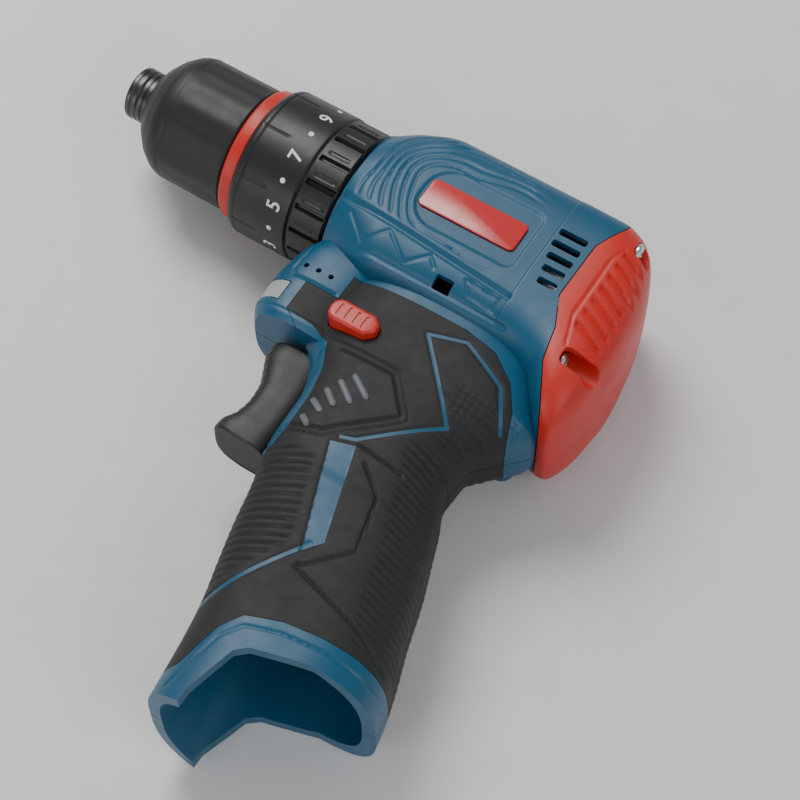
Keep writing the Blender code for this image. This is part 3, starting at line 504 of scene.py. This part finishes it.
TURNED = (4.0, 0.05, 0.05)
BLUE = (0.0042, 0.080, 0.155)
LOOKS = {
    "blue_shell": surface("blue_shell", BLUE, 0.44, mottle=0.06, spread=0.04, bump=0.30, wear=0.10),
    "red_shell": surface("red_shell", (0.56, 0.020, 0.011), 0.42, mottle=0.05, spread=0.04, bump=0.28,
                         wear=0.08),
    "grip_rubber": surface("grip_rubber", (0.0105, 0.0105, 0.0110), 0.66, mottle=0.12, spread=0.04,
                           grain=3400, bump=0.45, wear=0.06),
    "black_plastic": surface("black_plastic", (0.0100, 0.0100, 0.0108), 0.50, mottle=0.10, spread=0.03,
                             bump=0.35, wear=0.05),
    "dial_black": surface("dial_black", (0.0090, 0.0095, 0.0100), 0.42, mottle=0.08, spread=0.03,
                          bump=0.22, wear=0.05),
    "badge": surface("badge", (0.56, 0.012, 0.014), 0.26, mottle=0.05, spread=0.05, bump=0.05, coat=0.6),
    "button_red": surface("button_red", (0.58, 0.022, 0.013), 0.36, mottle=0.05, bump=0.15, wear=0.05),
    "lens": surface("lens", (0.36, 0.37, 0.37), 0.28, mottle=0.08, bump=0.1, coat=0.4),
    "nose_steel": surface("nose_steel", (0.085, 0.085, 0.088), 0.34, 1.0, mottle=0.20, spread=0.10,
                          grain=1800, bump=0.35, wear=0.6, stretch=TURNED),
    "steel": surface("steel", (0.40, 0.40, 0.41), 0.30, 1.0, mottle=0.12, spread=0.10, grain=1800, bump=0.30,
                     wear=0.4, stretch=TURNED),
    "zinc": surface("zinc", (0.62, 0.62, 0.63), 0.24, 1.0, mottle=0.12, spread=0.10, bump=0.12, wear=0.3),
    "alloy": surface("alloy", (0.50, 0.50, 0.51), 0.46, 1.0, mottle=0.12, spread=0.08, grain=1500, bump=0.5),
    "brass": surface("brass", (0.58, 0.38, 0.13), 0.26, 1.0, mottle=0.10, bump=0.15),
    "armature": surface("armature", (0.44, 0.20, 0.10), 0.36, 1.0, mottle=0.25, grain=1400, bump=0.8,
                        stretch=(0.2, 3.0, 3.0)),
    "carbon": surface("carbon", (0.030, 0.030, 0.032), 0.70, mottle=0.2, bump=0.4),
    "board": surface("board", (0.012, 0.130, 0.045), 0.40, mottle=0.2, grain=900, bump=0.5, coat=0.3),
    "print": surface("print", (0.78, 0.78, 0.76), 0.50, mottle=0.05, bump=0.1),
    "grey_rib": surface("grey_rib", (0.105, 0.115, 0.130), 0.50, mottle=0.10, bump=0.25, wear=0.3),
}
for entry in frame["record"]["subparts"]:
    node = frame["nodes"][entry["node"]]
    node.data.materials.clear()
    node.data.materials.append(LOOKS[entry["material_slot"]])
    node.data.shade_smooth()
    node.data.set_sharp_from_angle(angle=math.radians(35))


# ---------------------------------------------------------------- relief of the shell


def barrel_relief(x, y, z, normals):
    side = step(0.35, 0.75, np.abs(normals[:, 2]))
    # Sunk panel round the badge, with a round front and a square rear
    radius = np.where(x < 114.5, 8.5, 2.5)
    across, along = np.abs(x - 114.5) - 16.8 + radius, np.abs(y - 0.75) - 9.95 + radius
    outside = np.hypot(np.maximum(across, 0), np.maximum(along, 0))
    panel = outside + np.minimum(np.maximum(across, along), 0) - radius
    depth = -0.40 * step(0.35, -0.35, panel) * side
    # Contour lines that spread from the panel over the front and the upper side
    wandering = panel + 0.9 * np.sin(0.16 * x + 0.22 * y + 0.8) + 0.5 * np.sin(0.27 * x - 0.20 * y)
    channel = line_distance(x, y, CHANNEL)
    above = step(-11.0, -10.0, y + 0.09 * (x - 84.0)) * step(1.8, 3.2, channel)
    where = step(131.0, 121.0, x) * above * step(22.0, 20.0, y) * step(80.3, 82.0, x)
    for level in (2.6, 5.2, 7.8, 10.4, 13.0, 15.6):
        depth += groove(np.abs(wandering - level), 1.7, 0.34) * where * side
    # Channel and lower band
    depth += groove(channel, 3.0, 0.70) * side
    depth += groove(line_distance(x, y, ZIGZAG), 1.7, 0.36) * side
    depth += groove(line_distance(x, y, LOWER_PANEL), 1.6, 0.32) * side
    depth += groove(line_distance(x, y, BAND_LINE), 2.2, 0.55) * side
    # The plain area in front of the rear cover stands proud
    depth += -0.40 * step(135.9, 135.3, x) * step(-24.4, -23.8, y) * side
    lower = step(-23.4, -22.6, y) * step(0.7, -0.9, y + 12.0 + 0.091 * (x - 84.4))
    depth += -0.35 * lower * side * step(135.9, 135.3, x)
    # Louvres and a rim on the rear cover
    for k in range(7):
        middle = 10.2 - 4.3 * k
        slanting = y - middle + 0.36 * (x - 158.0)
        inside = step(154.2, 155.0, x) * step(164.6, 163.4, x)
        depth += -0.95 * step(1.5, 0.9, np.abs(slanting)) * step(-1.7, 1.2, slanting) * inside * side
    rim = 151.6 + 0.33 * np.maximum(0.0, np.abs(y + 2.0) - 10.0)
    depth += groove(np.abs(x - rim - 1.0), 1.4, 0.35) * side * step(-22.0, -20.0, y) * step(14.0, 12.0, y)
    return depth


def grip_relief(x, y, z, normals):
    side = step(0.25, 0.60, np.abs(normals[:, 2]))
    rear = smooth(GRIP, 2, y)
    depth = np.zeros(x.shape)
    # Side panel over the trigger's rear, standing proud inside a double groove
    panel = area_distance(x, y, PANEL_INSIDE)
    depth += -0.35 * step(0.6, -0.6, -panel) * side * step(-46.0, -49.0, y) * step(-86.0, -82.0, y)
    depth += groove(line_distance(x, y, PANEL_LINE), 1.6, 0.55) * side
    depth += groove(np.abs(panel - 1.9), 1.3, 0.35) * side * step(-82.0, -78.0, y)
    for line in COVER_GROOVES:
        depth += groove(line_distance(x, y, line), 1.7, 0.62) * side
    # Sunk beds of the blue lines
    for line, width in ACCENT_LINES:
        depth += -0.28 * step(width / 2 + 0.65, width / 2 + 0.1, line_distance(x, y, line)) * side
    depth += -0.28 * step(0.65, 0.1, area_distance(x, y, WIDE_STRIPE)) * side
    # Slanted ribs in front of the wide stripe
    stripe_front = np.interp(-y, [75.4, 106.6, 124.2, 131.0], [117.6, 129.0, 117.6, 113.0]) - 1.6
    zone = step(-79.0, -82.0, y) * step(0.0, 2.2, stripe_front - x) * step(-127.0, -124.0, y)
    depth += -0.62 * zone * (1 - wave(y - 0.42 * (x - 108.0), 2.7, 0.7))
    # Backstrap ribs
    backstrap = step(13.5, 11.0, rear - x) * step(-61.0, -65.0, y) * step(-121.5, -119.0, y)
    border = step(0.9, 2.1, line_distance(x, y, COVER_GROOVES[2]))
    depth += -0.55 * backstrap * border * (1 - wave(y + 0.12 * (x - 150.0), 2.15, 0.7))
    # Raised pips under the barrel's rear end
    pips = step(0.6, 2.0, line_distance(x, y, ACCENT_LINES[0][0])) * step(136.0, 139.0, x)
    pips = pips * step(-61.0, -58.0, y) * step(-41.0, -45.0, y) * step(0.0, 2.0, rear - x)
    depth += -0.30 * pips * (1 - np.clip(1.6 * wave(x, 2.0) * wave(y, 2.0), 0, 1))
    # Line round the foot's rim
    depth += groove(line_distance(x, y, FOOT_LINE), 1.5, 0.30) * side
    return depth


def column_relief(x, y, z, normals):
    side = step(0.25, 0.60, np.abs(normals[:, 2]))
    depth = groove(line_distance(x, y, GAUGE_LOBE), 1.6, 0.42) * side
    depth += groove(np.abs(y + 47.2), 1.4, 0.38)
    return depth


# ---------------------------------------------------------------- housing, covers and rear cover


def build_shells():
    barrel = displace(barrel_form("barrel", 0.36, 420), barrel_relief)
    grip = displace(upright_form("grip", GRIP, 0.36, 330), grip_relief)
    column = displace(upright_form("column", COLUMN, 0.4, 220), column_relief)
    left = block("left", (40, -190, 0.15), (220, 70, 60))
    behind_cap = prism("behind_cap", CAP_FRONT + CAP_REAR, -40, 40)

    cap = copy_of(barrel, "rear_cover_shell")
    carve(cap, "INTERSECT", prism("cap_area", [(x + GAP, y) for x, y in CAP_FRONT] + CAP_REAR, -40, 40))
    carve(cap, "DIFFERENCE", barrel_form("cap_hollow", 3.0, 64, 0.0, CAP_HOLLOW))
    core = barrel_form("cap_core", 2.0, 120, 0.6)
    for i, (y, z) in enumerate(CAP_SCREWS):
        outer = math.copysign(30.0, z)
        seat = CAP_SCREW_HEAD_X - SCREW_HEAD_HEIGHT - GAP
        boss = carve(rod("cap_boss", (153.0, y, z), (168.5, y, z), 5.0, 48), "INTERSECT", core, keep=(core,))
        carve(cap, "UNION", boss)
        carve(cap, "DIFFERENCE", rod(f"cap_pocket_{i}", (seat, y, z), (190, y, z), SCREW_HEAD_RADIUS + 0.5),
              rod(f"cap_shank_{i}", (135, y, z), (190, y, z), SCREW_RADIUS + GAP, 16))
        low, high = sorted((z, outer))
        notch = slot_outline(seat + 0.3, 190, y - 2.6, y + 2.6, 1.6)
        carve(cap, "DIFFERENCE", prism(f"cap_notch_{i}", notch, low, high))
    drop(core)
    finish_piece(cap, "housing", "red_shell", LOOKS["red_shell"], "rear_cover")

    carve(barrel, "INTERSECT", left, keep=(left,))
    carve(grip, "INTERSECT", left, keep=(left,))
    carve(column, "INTERSECT", left, keep=(left,))
    under = barrel_form("under_barrel", 2.0, 120, -GAP)
    foot_cut = prism("foot_cut", FOOT_CUT, -40, 40)
    trigger_window = block("trigger_window", *TRIGGER_WINDOW)
    button_window = prism("button_window", grown(BUTTON_OUTLINE, 0.35), -30, 30)

    cover = carve(copy_of(grip, "grip_cover_shell_left"), "UNION", column, keep=(column,))
    shell = carve(copy_of(barrel, "housing_shell_left"), "UNION", cover, keep=(cover,))
    carve(cover, "INTERSECT", prism("cover_area", grown(COVER_OUTLINE, -0.15), -40, 40))
    carve(cover, "DIFFERENCE", upright_form("inside_grip", GRIP, 2.0, 90, COVER),
          upright_form("inside_column", COLUMN, 2.0, 90, COVER), under, foot_cut, trigger_window,
          button_window, keep=(foot_cut, trigger_window, button_window))
    strips = [prism("strip", ribbon(line, width), -40, 40) for line, width in ACCENT_LINES]
    strips += [prism("strip", WIDE_STRIPE, -40, 40), prism("strip", TRIM, -40, 40)]
    inlay = copy_of(strips[0], "strips")
    carve(inlay, "UNION", *strips[1:], keep=strips)
    accents = carve(copy_of(cover, "accent_inlay_left"), "INTERSECT", inlay, keep=(inlay,))
    carve(cover, "DIFFERENCE", inlay)
    drop(*strips)

    bed = prism("bed", COVER_OUTLINE, -41, 41)
    carve(bed, "DIFFERENCE", upright_form("core_grip", GRIP, 2.0, 90, COVER + GAP),
          upright_form("core_column", COLUMN, 2.0, 90, COVER + GAP))
    carve(shell, "DIFFERENCE", bed, behind_cap, foot_cut, trigger_window, button_window,
          block("lens_window", *LENS_WINDOW), block("selector_window", *SELECTOR_WINDOW),
          barrel_form("hollow_barrel", 2.5, 100, WALL, BARREL_HOLLOW),
          upright_form("hollow_grip", GRIP_HOLLOW, 2.5, 100, COVER + GAP + WALL),
          upright_form("hollow_column", COLUMN_HOLLOW, 2.5, 80, WALL),
          rod("collar_hole", (60, 0, 0), (90, 0, 0), 19.3, 96),
          rod("collar_sweep", (50, 0, 0), (78.1, 0, 0), 23.0, 96))
    x0, x1, y0, y1 = BADGE
    recess = slot_outline(x0 - 0.25, x1 + 0.25, y0 - 0.25, y1 + 0.25, 1.7)
    carve(shell, "DIFFERENCE", prism("recess", recess, BADGE_FLOOR - 0.2, 40))
    for i in range(5):
        middle = 8.4 - 4.1 * i
        slant = 0.9 * max(0, i - 1)
        vent = slot_outline(136.5 + slant, 145.0, middle - 1.1, middle + 1.1, 0.7)
        carve(shell, "DIFFERENCE", prism("vent", vent, 15, 40))
    carve(shell, "DIFFERENCE", prism("service_hole", slot_outline(115.4, 120.7, -23.3, -19.6, 0.5), 15, 40))

    shell_right = mirrored(shell, "housing_shell_right")
    cover_right = mirrored(cover, "grip_cover_shell_right")
    accents_right = mirrored(accents, "accent_inlay_right")
    for i in range(3):
        x = 81.3 + 4 * i
        carve(shell, "DIFFERENCE", rod("gauge_hole", (x, -32.2, 5), (x, -32.2, 40), 0.8, 24))
    for x, y in HOUSING_SCREWS:
        for piece in (shell_right, cover_right, accents_right):
            hole = rod("head_hole", (x, y, -40), (x, y, HEAD_SEAT_Z), SCREW_HEAD_RADIUS + GAP)
            carve(piece, "DIFFERENCE", hole)
        carve(shell_right, "UNION", screw_seat(x, y))
    drop(left, barrel, grip, column)
    for piece, slot, node in ((shell, "blue_shell", "housing_left"),
                              (shell_right, "blue_shell", "housing_right"),
                              (cover, "grip_rubber", "grip_cover_left"),
                              (cover_right, "grip_rubber", "grip_cover_right")):
        finish_piece(piece, "housing", slot, LOOKS[slot], node)
    for piece in (accents, accents_right):
        finish_piece(piece, "housing", "blue_shell", LOOKS["blue_shell"])
    return cover


def screw_seat(x, y):
    """A tube inside the right half that the screw's head rests in."""
    outer = rod("seat", (x, y, -19.5), (x, y, -6.0), 3.9)
    carve(outer, "DIFFERENCE", rod("seat_bore", (x, y, -40), (x, y, HEAD_SEAT_Z), SCREW_HEAD_RADIUS + GAP),
          rod("seat_hole", (x, y, -40), (x, y, 10), SCREW_RADIUS + GAP, 16))
    return outer


def tree_of(obj):
    return BVHTree.FromObject(obj, bpy.context.evaluated_depsgraph_get())


def side_ribs(cover):
    """Five pale ribs that follow the grip's side, the same on the right."""
    bpy.context.view_layer.update()
    tree = tree_of(cover)
    points, faces = [], []
    for start, end in RIBS:
        stations, around = 16, 12
        base = len(points)
        for k in range(stations + 1):
            t = k / stations
            x, y = start[0] + (end[0] - start[0]) * t, start[1] + (end[1] - start[1]) * t
            hit = tree.ray_cast(Vector(to_world((x, y, 60.0))), Vector((0, 0, -1)))[0]
            z = hit.z / MM + BOX_CENTRE[2]
            along = Vector((end[0] - start[0], end[1] - start[1], 0)).normalized()
            across = Vector((-along.y, along.x, 0))
            radius = 0.92 * math.sqrt(max(0.02, 1 - (2 * t - 1) ** 8))
            for a in range(around):
                turn = 2 * math.pi * a / around
                offset = across * math.cos(turn) * radius + Vector((0, 0, 0.62 * radius * math.sin(turn)))
                points.append((x + offset.x, y + offset.y, min(24.9, z + offset.z + 0.1)))
        rings = np.array(points[base:]).reshape(stations + 1, around, 3)
        faces += [[base + i for i in face] for face in loft(rings)[1]]
    left = new_object("grip_ribs_left", points, faces)
    right = mirrored(left, "grip_ribs_right")
    for piece in (left, right):
        finish_piece(piece, "housing", "grip_rubber", LOOKS["grey_rib"])


def badges():
    x0, x1, y0, y1 = BADGE
    for name, sign in (("left", 1), ("right", -1)):
        low, high = sorted((sign * BADGE_FLOOR, sign * BADGE_FACE))
        plate = prism(f"badge_{name}", slot_outline(x0, x1, y0, y1, 1.5), low, high)
        edge = plate.modifiers.new("edge", "BEVEL")
        edge.width, edge.segments, edge.limit_method = 0.25 * MM, 3, "ANGLE"
        apply_modifiers(plate)
        finish_piece(plate, "housing", "badge", LOOKS["badge"], f"badge_plate_{name}")


def apply_modifiers(obj):
    bpy.context.view_layer.update()
    result = bpy.data.meshes.new_from_object(obj.evaluated_get(bpy.context.evaluated_depsgraph_get()))
    obj.modifiers.clear()
    before = obj.data
    obj.data = result
    bpy.data.meshes.remove(before)
    return obj


# ---------------------------------------------------------------- screws


def screw(name, head, tip, node):
    """A domed head with a cross recess and a threaded shank."""
    head, tip = Vector(head), Vector(tip)
    length = (tip - head).length
    profile = [(0.0, 0.01), (0.0, 1.4), (0.25, 2.2), (0.8, SCREW_HEAD_RADIUS), (1.3, SCREW_HEAD_RADIUS),
               (SCREW_HEAD_HEIGHT, 2.5)]
    position = SCREW_HEAD_HEIGHT
    while position < length - 2.4:
        profile += [(position + 0.1, 1.05), (position + 0.5, SCREW_RADIUS), (position + 0.9, 1.05)]
        position += 1.1
    profile += [(length - 1.2, 1.0), (length, 0.25), (length, 0.01)]
    made = turned(name, profile, 32)
    for k in range(2):
        wide, narrow = ((1.45, 0.32), (0.32, 1.45))[k]
        carve(made, "DIFFERENCE", block_tapered(f"recess_{k}", wide, narrow), solver="EXACT")
    turn = Vector((1, 0, 0)).rotation_difference(tip - head).to_matrix().to_4x4()
    origin = Vector(to_world((0, 0, 0)))
    place = Matrix.Translation(Vector(to_world(head))) @ turn @ Matrix.Translation(-origin)
    made.data.transform(place)
    finish_piece(made, "housing", "zinc", LOOKS["zinc"], node)


def block_tapered(name, half_y, half_z):
    points = [(x, sy * half_y * k, sz * half_z * k) for x, k in ((-1.0, 1.25), (1.1, 0.55)) for sy, sz in
              ((-1, -1), (1, -1), (1, 1), (-1, 1))]
    faces = [[0, 1, 2, 3], [7, 6, 5, 4], [0, 4, 5, 1], [1, 5, 6, 2], [2, 6, 7, 3], [3, 7, 4, 0]]
    points = np.array(points)
    return new_object(name, points, outward(points, faces))


def screws():
    for i, (x, y) in enumerate(HOUSING_SCREWS):
        head = (x, y, HEAD_SEAT_Z - SCREW_HEAD_HEIGHT - GAP)
        screw(f"case_screw_{i + 1}", head, (x, y, 8.0), f"housing_screw_{i + 1}")
    for i, (y, z) in enumerate(CAP_SCREWS):
        screw(f"cap_screw_{i + 1}", (CAP_SCREW_HEAD_X, y, z), (142.0, y, z), f"rear_cover_screw_{i + 1}")


# ---------------------------------------------------------------- controls


def trigger():
    """The lever: a rounded front that is hollow in side view, with a lip at its foot."""
    line = [(-51.6, 84.2), (-56.0, 83.6), (-61.0, 85.6), (-66.0, 87.6), (-71.0, 88.0), (-76.0, 87.0),
            (-80.0, 84.8), (-82.4, 84.6), (-83.9, 87.5)]
    table = [(y, front, 103.0, 8.6, 3.4) for y, front in line]
    lever = upright_form("trigger_lever", table, 0.35, 160)

    def relief(x, y, z, normals):
        front = smooth(table, 1, y)
        ribs = step(7.0, 4.5, x - front) * step(-54.0, -56.0, y) * step(-79.0, -77.0, y)
        ribs = ribs * step(7.4, 6.2, np.abs(z))
        ends = -0.9 * (step(-52.6, -51.6, y) + step(-82.9, -83.9, y))
        return -0.28 * ribs * (1 - wave(y, 2.2, 0.8)) + ends

    finish_piece(displace(lever, relief), "trigger", "black_plastic", LOOKS["black_plastic"], "trigger")


def direction_button():
    button = prism("direction_slide", BUTTON_OUTLINE, -21.6, 21.6)
    edge = button.modifiers.new("edge", "BEVEL")
    edge.width, edge.segments, edge.limit_method, edge.angle_limit = 0.9 * MM, 4, "ANGLE", math.radians(50)
    apply_modifiers(button)
    for k in range(4):
        for sign in (1, -1):
            low, high = sorted((sign * 21.25, sign * 30.0))
            line = slot_outline(98.6 + 2.6 * k, 99.4 + 2.6 * k, -44.3, -40.3, 0.35)
            carve(button, "DIFFERENCE", prism("grip_line", line, low, high))
    finish_piece(button, "direction_button", "button_red", LOOKS["button_red"], "direction_button")


def speed_selector():
    knob = prism("speed_slide", slot_outline(86.0, 95.0, -6.0, 6.0, 1.2), 20.4, 25.4)
    turn_up(knob)
    edge = knob.modifiers.new("edge", "BEVEL")
    edge.width, edge.segments, edge.limit_method, edge.angle_limit = 0.5 * MM, 3, "ANGLE", math.radians(50)
    apply_modifiers(knob)
    for k in range(4):
        line = slot_outline(87.2 + 1.9 * k, 88.0 + 1.9 * k, -4.8, 4.8, 0.35)
        carve(knob, "DIFFERENCE", turn_up(prism("knob_line", line, 24.7, 30.0)))
    finish_piece(knob, "speed_selector", "black_plastic", LOOKS["black_plastic"], "speed_selector")


def turn_up(obj):
    """Turns a piece drawn over the x-z plane with its height along z, so that its height runs along y."""
    for vertex in obj.data.vertices:
        x, y, z = np.array(vertex.co) / MM + BOX_CENTRE
        vertex.co = to_world((x, z, y))
    obj.data.flip_normals()
    return obj


def work_light():
    lens = upright_form("light_window", COLUMN, 0.4, 240)

    def relief(x, y, z, normals):
        return -0.24 * wave(z, 1.5, 0.8) * step(14.0, 13.0, np.abs(z))

    displace(lens, relief)
    carve(lens, "INTERSECT", block("lens_area", (60.0, -45.0, -18.0), (80.6, -39.0, 18.0)))
    carve(lens, "DIFFERENCE", upright_form("lens_hollow", COLUMN, 2.0, 90, WALL))
    finish_piece(lens, "housing", "lens", LOOKS["lens"], "light_lens")


def spring(name, front, rear, radius, wire, turns, node, axis_y=0.0):
    """A coil along x, with its turns spaced evenly."""
    around, steps = 10, 36
    stations = turns * steps
    rings = []
    for i in range(stations + 1):
        angle = 2 * math.pi * i / steps
        x = front + wire + (rear - front - 2 * wire) * i / stations
        out = np.array([0, math.cos(angle), math.sin(angle)])
        rings.append([np.array([x, 0, 0]) + out * (radius + wire * math.cos(b))
                      + np.array([wire * math.sin(b), 0, 0])
                      for b in np.linspace(0, 2 * math.pi, around, endpoint=False)])
    points, faces = loft(np.array(rings) + np.array((0, axis_y, 0)))
    made = finish_piece(new_object(name, points, faces), "housing", "steel", LOOKS["steel"], node)
    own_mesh(made)


# ---------------------------------------------------------------- chuck and collar


def chuck():
    def sleeve_relief(x, turn, radius):
        facets = 0.10 * (1 - np.cos(18 * turn)) * step(19.5, 24.0, x) * step(40.6, 39.6, x)
        return facets * (radius > 17.5) + 0.16 * np.exp(-((x - 20.2) / 0.3) ** 2) * (radius > 17.5)

    sleeve = [(7.6, 8.7), (7.6, 9.2), (8.0, 10.0), (9.5, 12.4), (12.5, 15.8), (15.5, 18.0), (17.0, 18.7),
              (18.7, 19.1), (40.7, 19.1), (41.3, 18.6), (41.3, 16.5), (20.2, 16.5), (19.0, 15.1)]
    finish_piece(turned("chuck_shell", sleeve, 216, 0.5, sleeve_relief), "chuck_sleeve", "black_plastic",
                 LOOKS["black_plastic"], "chuck_sleeve")

    def nose_relief(x, turn, radius):
        rings = sum(np.exp(-((x - at) / 0.22) ** 2) for at in (2.0, 3.9, 5.8))
        return 0.35 * rings * (radius > 7.0) * (x < 7.0)

    nose = [(0, 5.2), (0, 7.4), (0.25, 7.8), (0.6, 8.0), (7.2, 8.0), (19.0, 14.6), (20.4, 14.6), (20.4, 9.6),
            (28.0, 9.6), (28.0, 15.2), (40.9, 15.2), (40.9, 5.1), (29.2, 5.1), (29.2, 2.5), (26.5, 2.5),
            (26.5, 5.2)]
    body = turned("chuck_core", nose, 120, 0.25, nose_relief)
    slant = Vector((math.cos(math.radians(12)), math.sin(math.radians(12)), 0))
    front = Vector((1.4, 3.9, 0))
    for i in range(3):
        turn = Matrix.Rotation(2 * math.pi * i / 3, 4, "X")
        bore = rod("jaw_bore", turn @ (front - slant * 12), turn @ (front + slant * 35), 2.6, 48)
        carve(body, "DIFFERENCE", bore)
        jaw = rod(f"jaw_{i + 1}", turn @ (front - slant * 3), turn @ (front + slant * 25), 2.3, 64)
        outline = []
        for y, z in ((3.4, -0.35), (12.0, -8.95), (30.0, -8.95), (30.0, 8.95), (12.0, 8.95), (3.4, 0.35)):
            width = math.copysign(math.tan(math.radians(60)) * (min(y, 12.0) - 3.05), z)
            outline.append((y, width))
        wedge = prism("wedge", outline, 1.4, 60.0)
        for vertex in wedge.data.vertices:
            y, z, x = np.array(vertex.co) / MM + BOX_CENTRE
            vertex.co = to_world(turn @ Vector((x, y, z)))
        carve(jaw, "INTERSECT", wedge)
        finish_piece(jaw, f"chuck_jaw_{i + 1}", "nose_steel", LOOKS["steel"], f"chuck_jaw_{i + 1}")
    finish_piece(body, "spindle", "nose_steel", LOOKS["nose_steel"], "chuck_body")


def collar():
    def relief(x, turn, radius):
        outer = radius > 21.0
        slots = step(0.80, 0.90, np.cos(18 * turn + math.pi)) * step(67.2, 67.7, x) * step(76.8, 76.4, x)
        lands = 0.25 * step(0.85, 0.95, np.cos(18 * turn + math.pi / 3))
        lands = lands * step(68.6, 69.0, x) * step(75.6, 75.2, x)
        seams = 0.22 * step(0.985, 1.0, np.cos(9 * (turn + math.radians(8))))
        seams = seams * step(47.6, 48.2, x) * step(57.5, 56.5, x)
        ring = 0.30 * np.exp(-((x - 66.2) / 0.30) ** 2) + 0.22 * np.exp(-((x - 49.2) / 0.25) ** 2)
        return outer * (1.35 * slots + lands * (1 - slots) + seams + ring)

    profile = [(46.4, 12.0), (46.4, 21.3), (46.7, 21.8), (47.4, 22.3), (48.2, 22.5), (65.8, 22.5),
               (66.3, 22.1), (76.7, 22.1),
               (77.5, 21.3), (77.5, 19.2), (49.2, 19.2), (49.2, 12.0)]
    dial = turned("torque_dial", profile, 432, 0.45, relief)
    finish_piece(dial, "torque_collar", "dial_black", LOOKS["dial_black"], "torque_collar")
    ring = [(41.8, 12.0), (41.8, 19.3), (42.0, 19.8), (42.6, 20.2), (45.7, 20.2), (46.1, 19.9), (46.1, 12.0)]
    red_ring = turned("dial_ring", ring, 216, 0.5)
    finish_piece(red_ring, "torque_collar", "red_shell", LOOKS["red_shell"], "accent_ring")
    dial_marks()


def dial_marks():
    """Numbers 1 to 17 and the dots between them, printed round the collar."""
    height, radius, at = 4.3, 22.5, 61.2
    points, faces = [], []
    for k in range(18):
        phi = math.radians(138 - 20 * k)
        if k % 2 == 0:
            curve = bpy.data.curves.new("digit", "FONT")
            curve.body = str(k + 1)
            curve.size, curve.extrude, curve.offset = 1.0, 0.02, 0.012
            curve.align_x, curve.align_y = "CENTER", "CENTER"
            holder = bpy.data.objects.new("digit", curve)
            bpy.context.scene.collection.objects.link(holder)
            bpy.context.view_layer.update()
            graph = bpy.context.evaluated_depsgraph_get()
            mesh = bpy.data.meshes.new_from_object(holder.evaluated_get(graph))
            glyph = np.array([v.co for v in mesh.vertices])
            middle = (glyph.max(0) + glyph.min(0)) / 2
            glyph = (glyph - middle) * height / 0.72
            sides = [list(polygon.vertices) for polygon in mesh.polygons]
            bpy.data.objects.remove(holder, do_unlink=True)
            bpy.data.curves.remove(curve)
            bpy.data.meshes.remove(mesh)
        else:
            turns = np.linspace(0, 2 * math.pi, 24, endpoint=False)
            ring = np.array([(0.78 * math.cos(a), 0.78 * math.sin(a)) for a in turns])
            glyph = np.concatenate([np.c_[ring, np.full(24, -0.1)], np.c_[ring, np.full(24, 0.1)]])
            sides = [list(range(24))[::-1], list(range(24, 48))]
            sides += [[i, (i + 1) % 24, (i + 1) % 24 + 24, i + 24] for i in range(24)]
        base = len(points)
        for u, v, w in glyph:
            turn = phi - u / radius
            x = at - v
            reach = radius + (0.05 if w > 0 else -0.12)
            points.append((x, -reach * math.sin(turn), reach * math.cos(turn)))
        faces += [[base + i for i in side] for side in sides]
    finish_piece(new_object("dial_marks", points, faces), "torque_collar", "dial_black", LOOKS["print"])


cover = build_shells()
side_ribs(cover)
badges()
screws()
trigger()
direction_button()
speed_selector()
work_light()
spring("trigger_coil", 95.9, 109.6, 2.6, 0.4, 6, "trigger_spring", -60.0)
spring("clutch_coil", 55.8, 65.4, 14.8, 0.9, 4, "clutch_spring")
chuck()
collar()


# ---------------------------------------------------------------- room, light and camera

floor_data = bpy.data.meshes.new("floor")
FLOOR_REACH, FLOOR_Z = 3.0, -0.0002
corners = [(x * FLOOR_REACH, y * FLOOR_REACH, FLOOR_Z) for x, y in ((-1, -1), (1, -1), (1, 1), (-1, 1))]
floor_data.from_pydata(corners, [], [(0, 1, 2, 3)])
floor = bpy.data.objects.new("floor", floor_data)
bpy.context.scene.collection.objects.link(floor)
floor_look = surface("floor_look", (0.78, 0.775, 0.765), 0.6, mottle=0.02, bump=0.05)
floor_data.materials.append(floor_look)

world = bpy.data.worlds.new("studio")
bpy.context.scene.world = world
world.use_nodes = True
world.node_tree.nodes["Background"].inputs["Color"].default_value = (0.92, 0.95, 1.0, 1)
world.node_tree.nodes["Background"].inputs["Strength"].default_value = 0.38


def area_light(name, place, target, size, power, colour):
    data = bpy.data.lights.new(name, "AREA")
    data.shape, data.size, data.energy, data.color = "DISK", size, power, colour
    lamp = bpy.data.objects.new(name, data)
    bpy.context.scene.collection.objects.link(lamp)
    lamp.location = place
    lamp.rotation_euler = (Vector(target) - Vector(place)).to_track_quat("-Z", "Y").to_euler()


area_light("key", (-0.45, 0.35, 0.85), (0.0, 0.0, 0.02), 0.55, 7.5, (1.0, 0.98, 0.95))
area_light("fill", (0.75, -0.25, 0.60), (0.0, 0.0, 0.02), 0.7, 2.6, (0.93, 0.96, 1.0))
area_light("low", (-0.25, -0.80, 0.35), (0.0, 0.0, 0.02), 0.5, 1.6, (1.0, 1.0, 1.0))

camera_data = bpy.data.cameras.new("camera")
camera_data.lens = 95.0
camera_data.sensor_width = 36.0
camera = bpy.data.objects.new("camera", camera_data)
bpy.context.scene.collection.objects.link(camera)
camera.location = (0.18765, -0.2192, 0.5209)
aim = Vector((0.0367, 0.0179, 0.0257)) - camera.location
camera.rotation_euler = aim.to_track_quat("-Z", "Y").to_euler()
bpy.context.scene.camera = camera
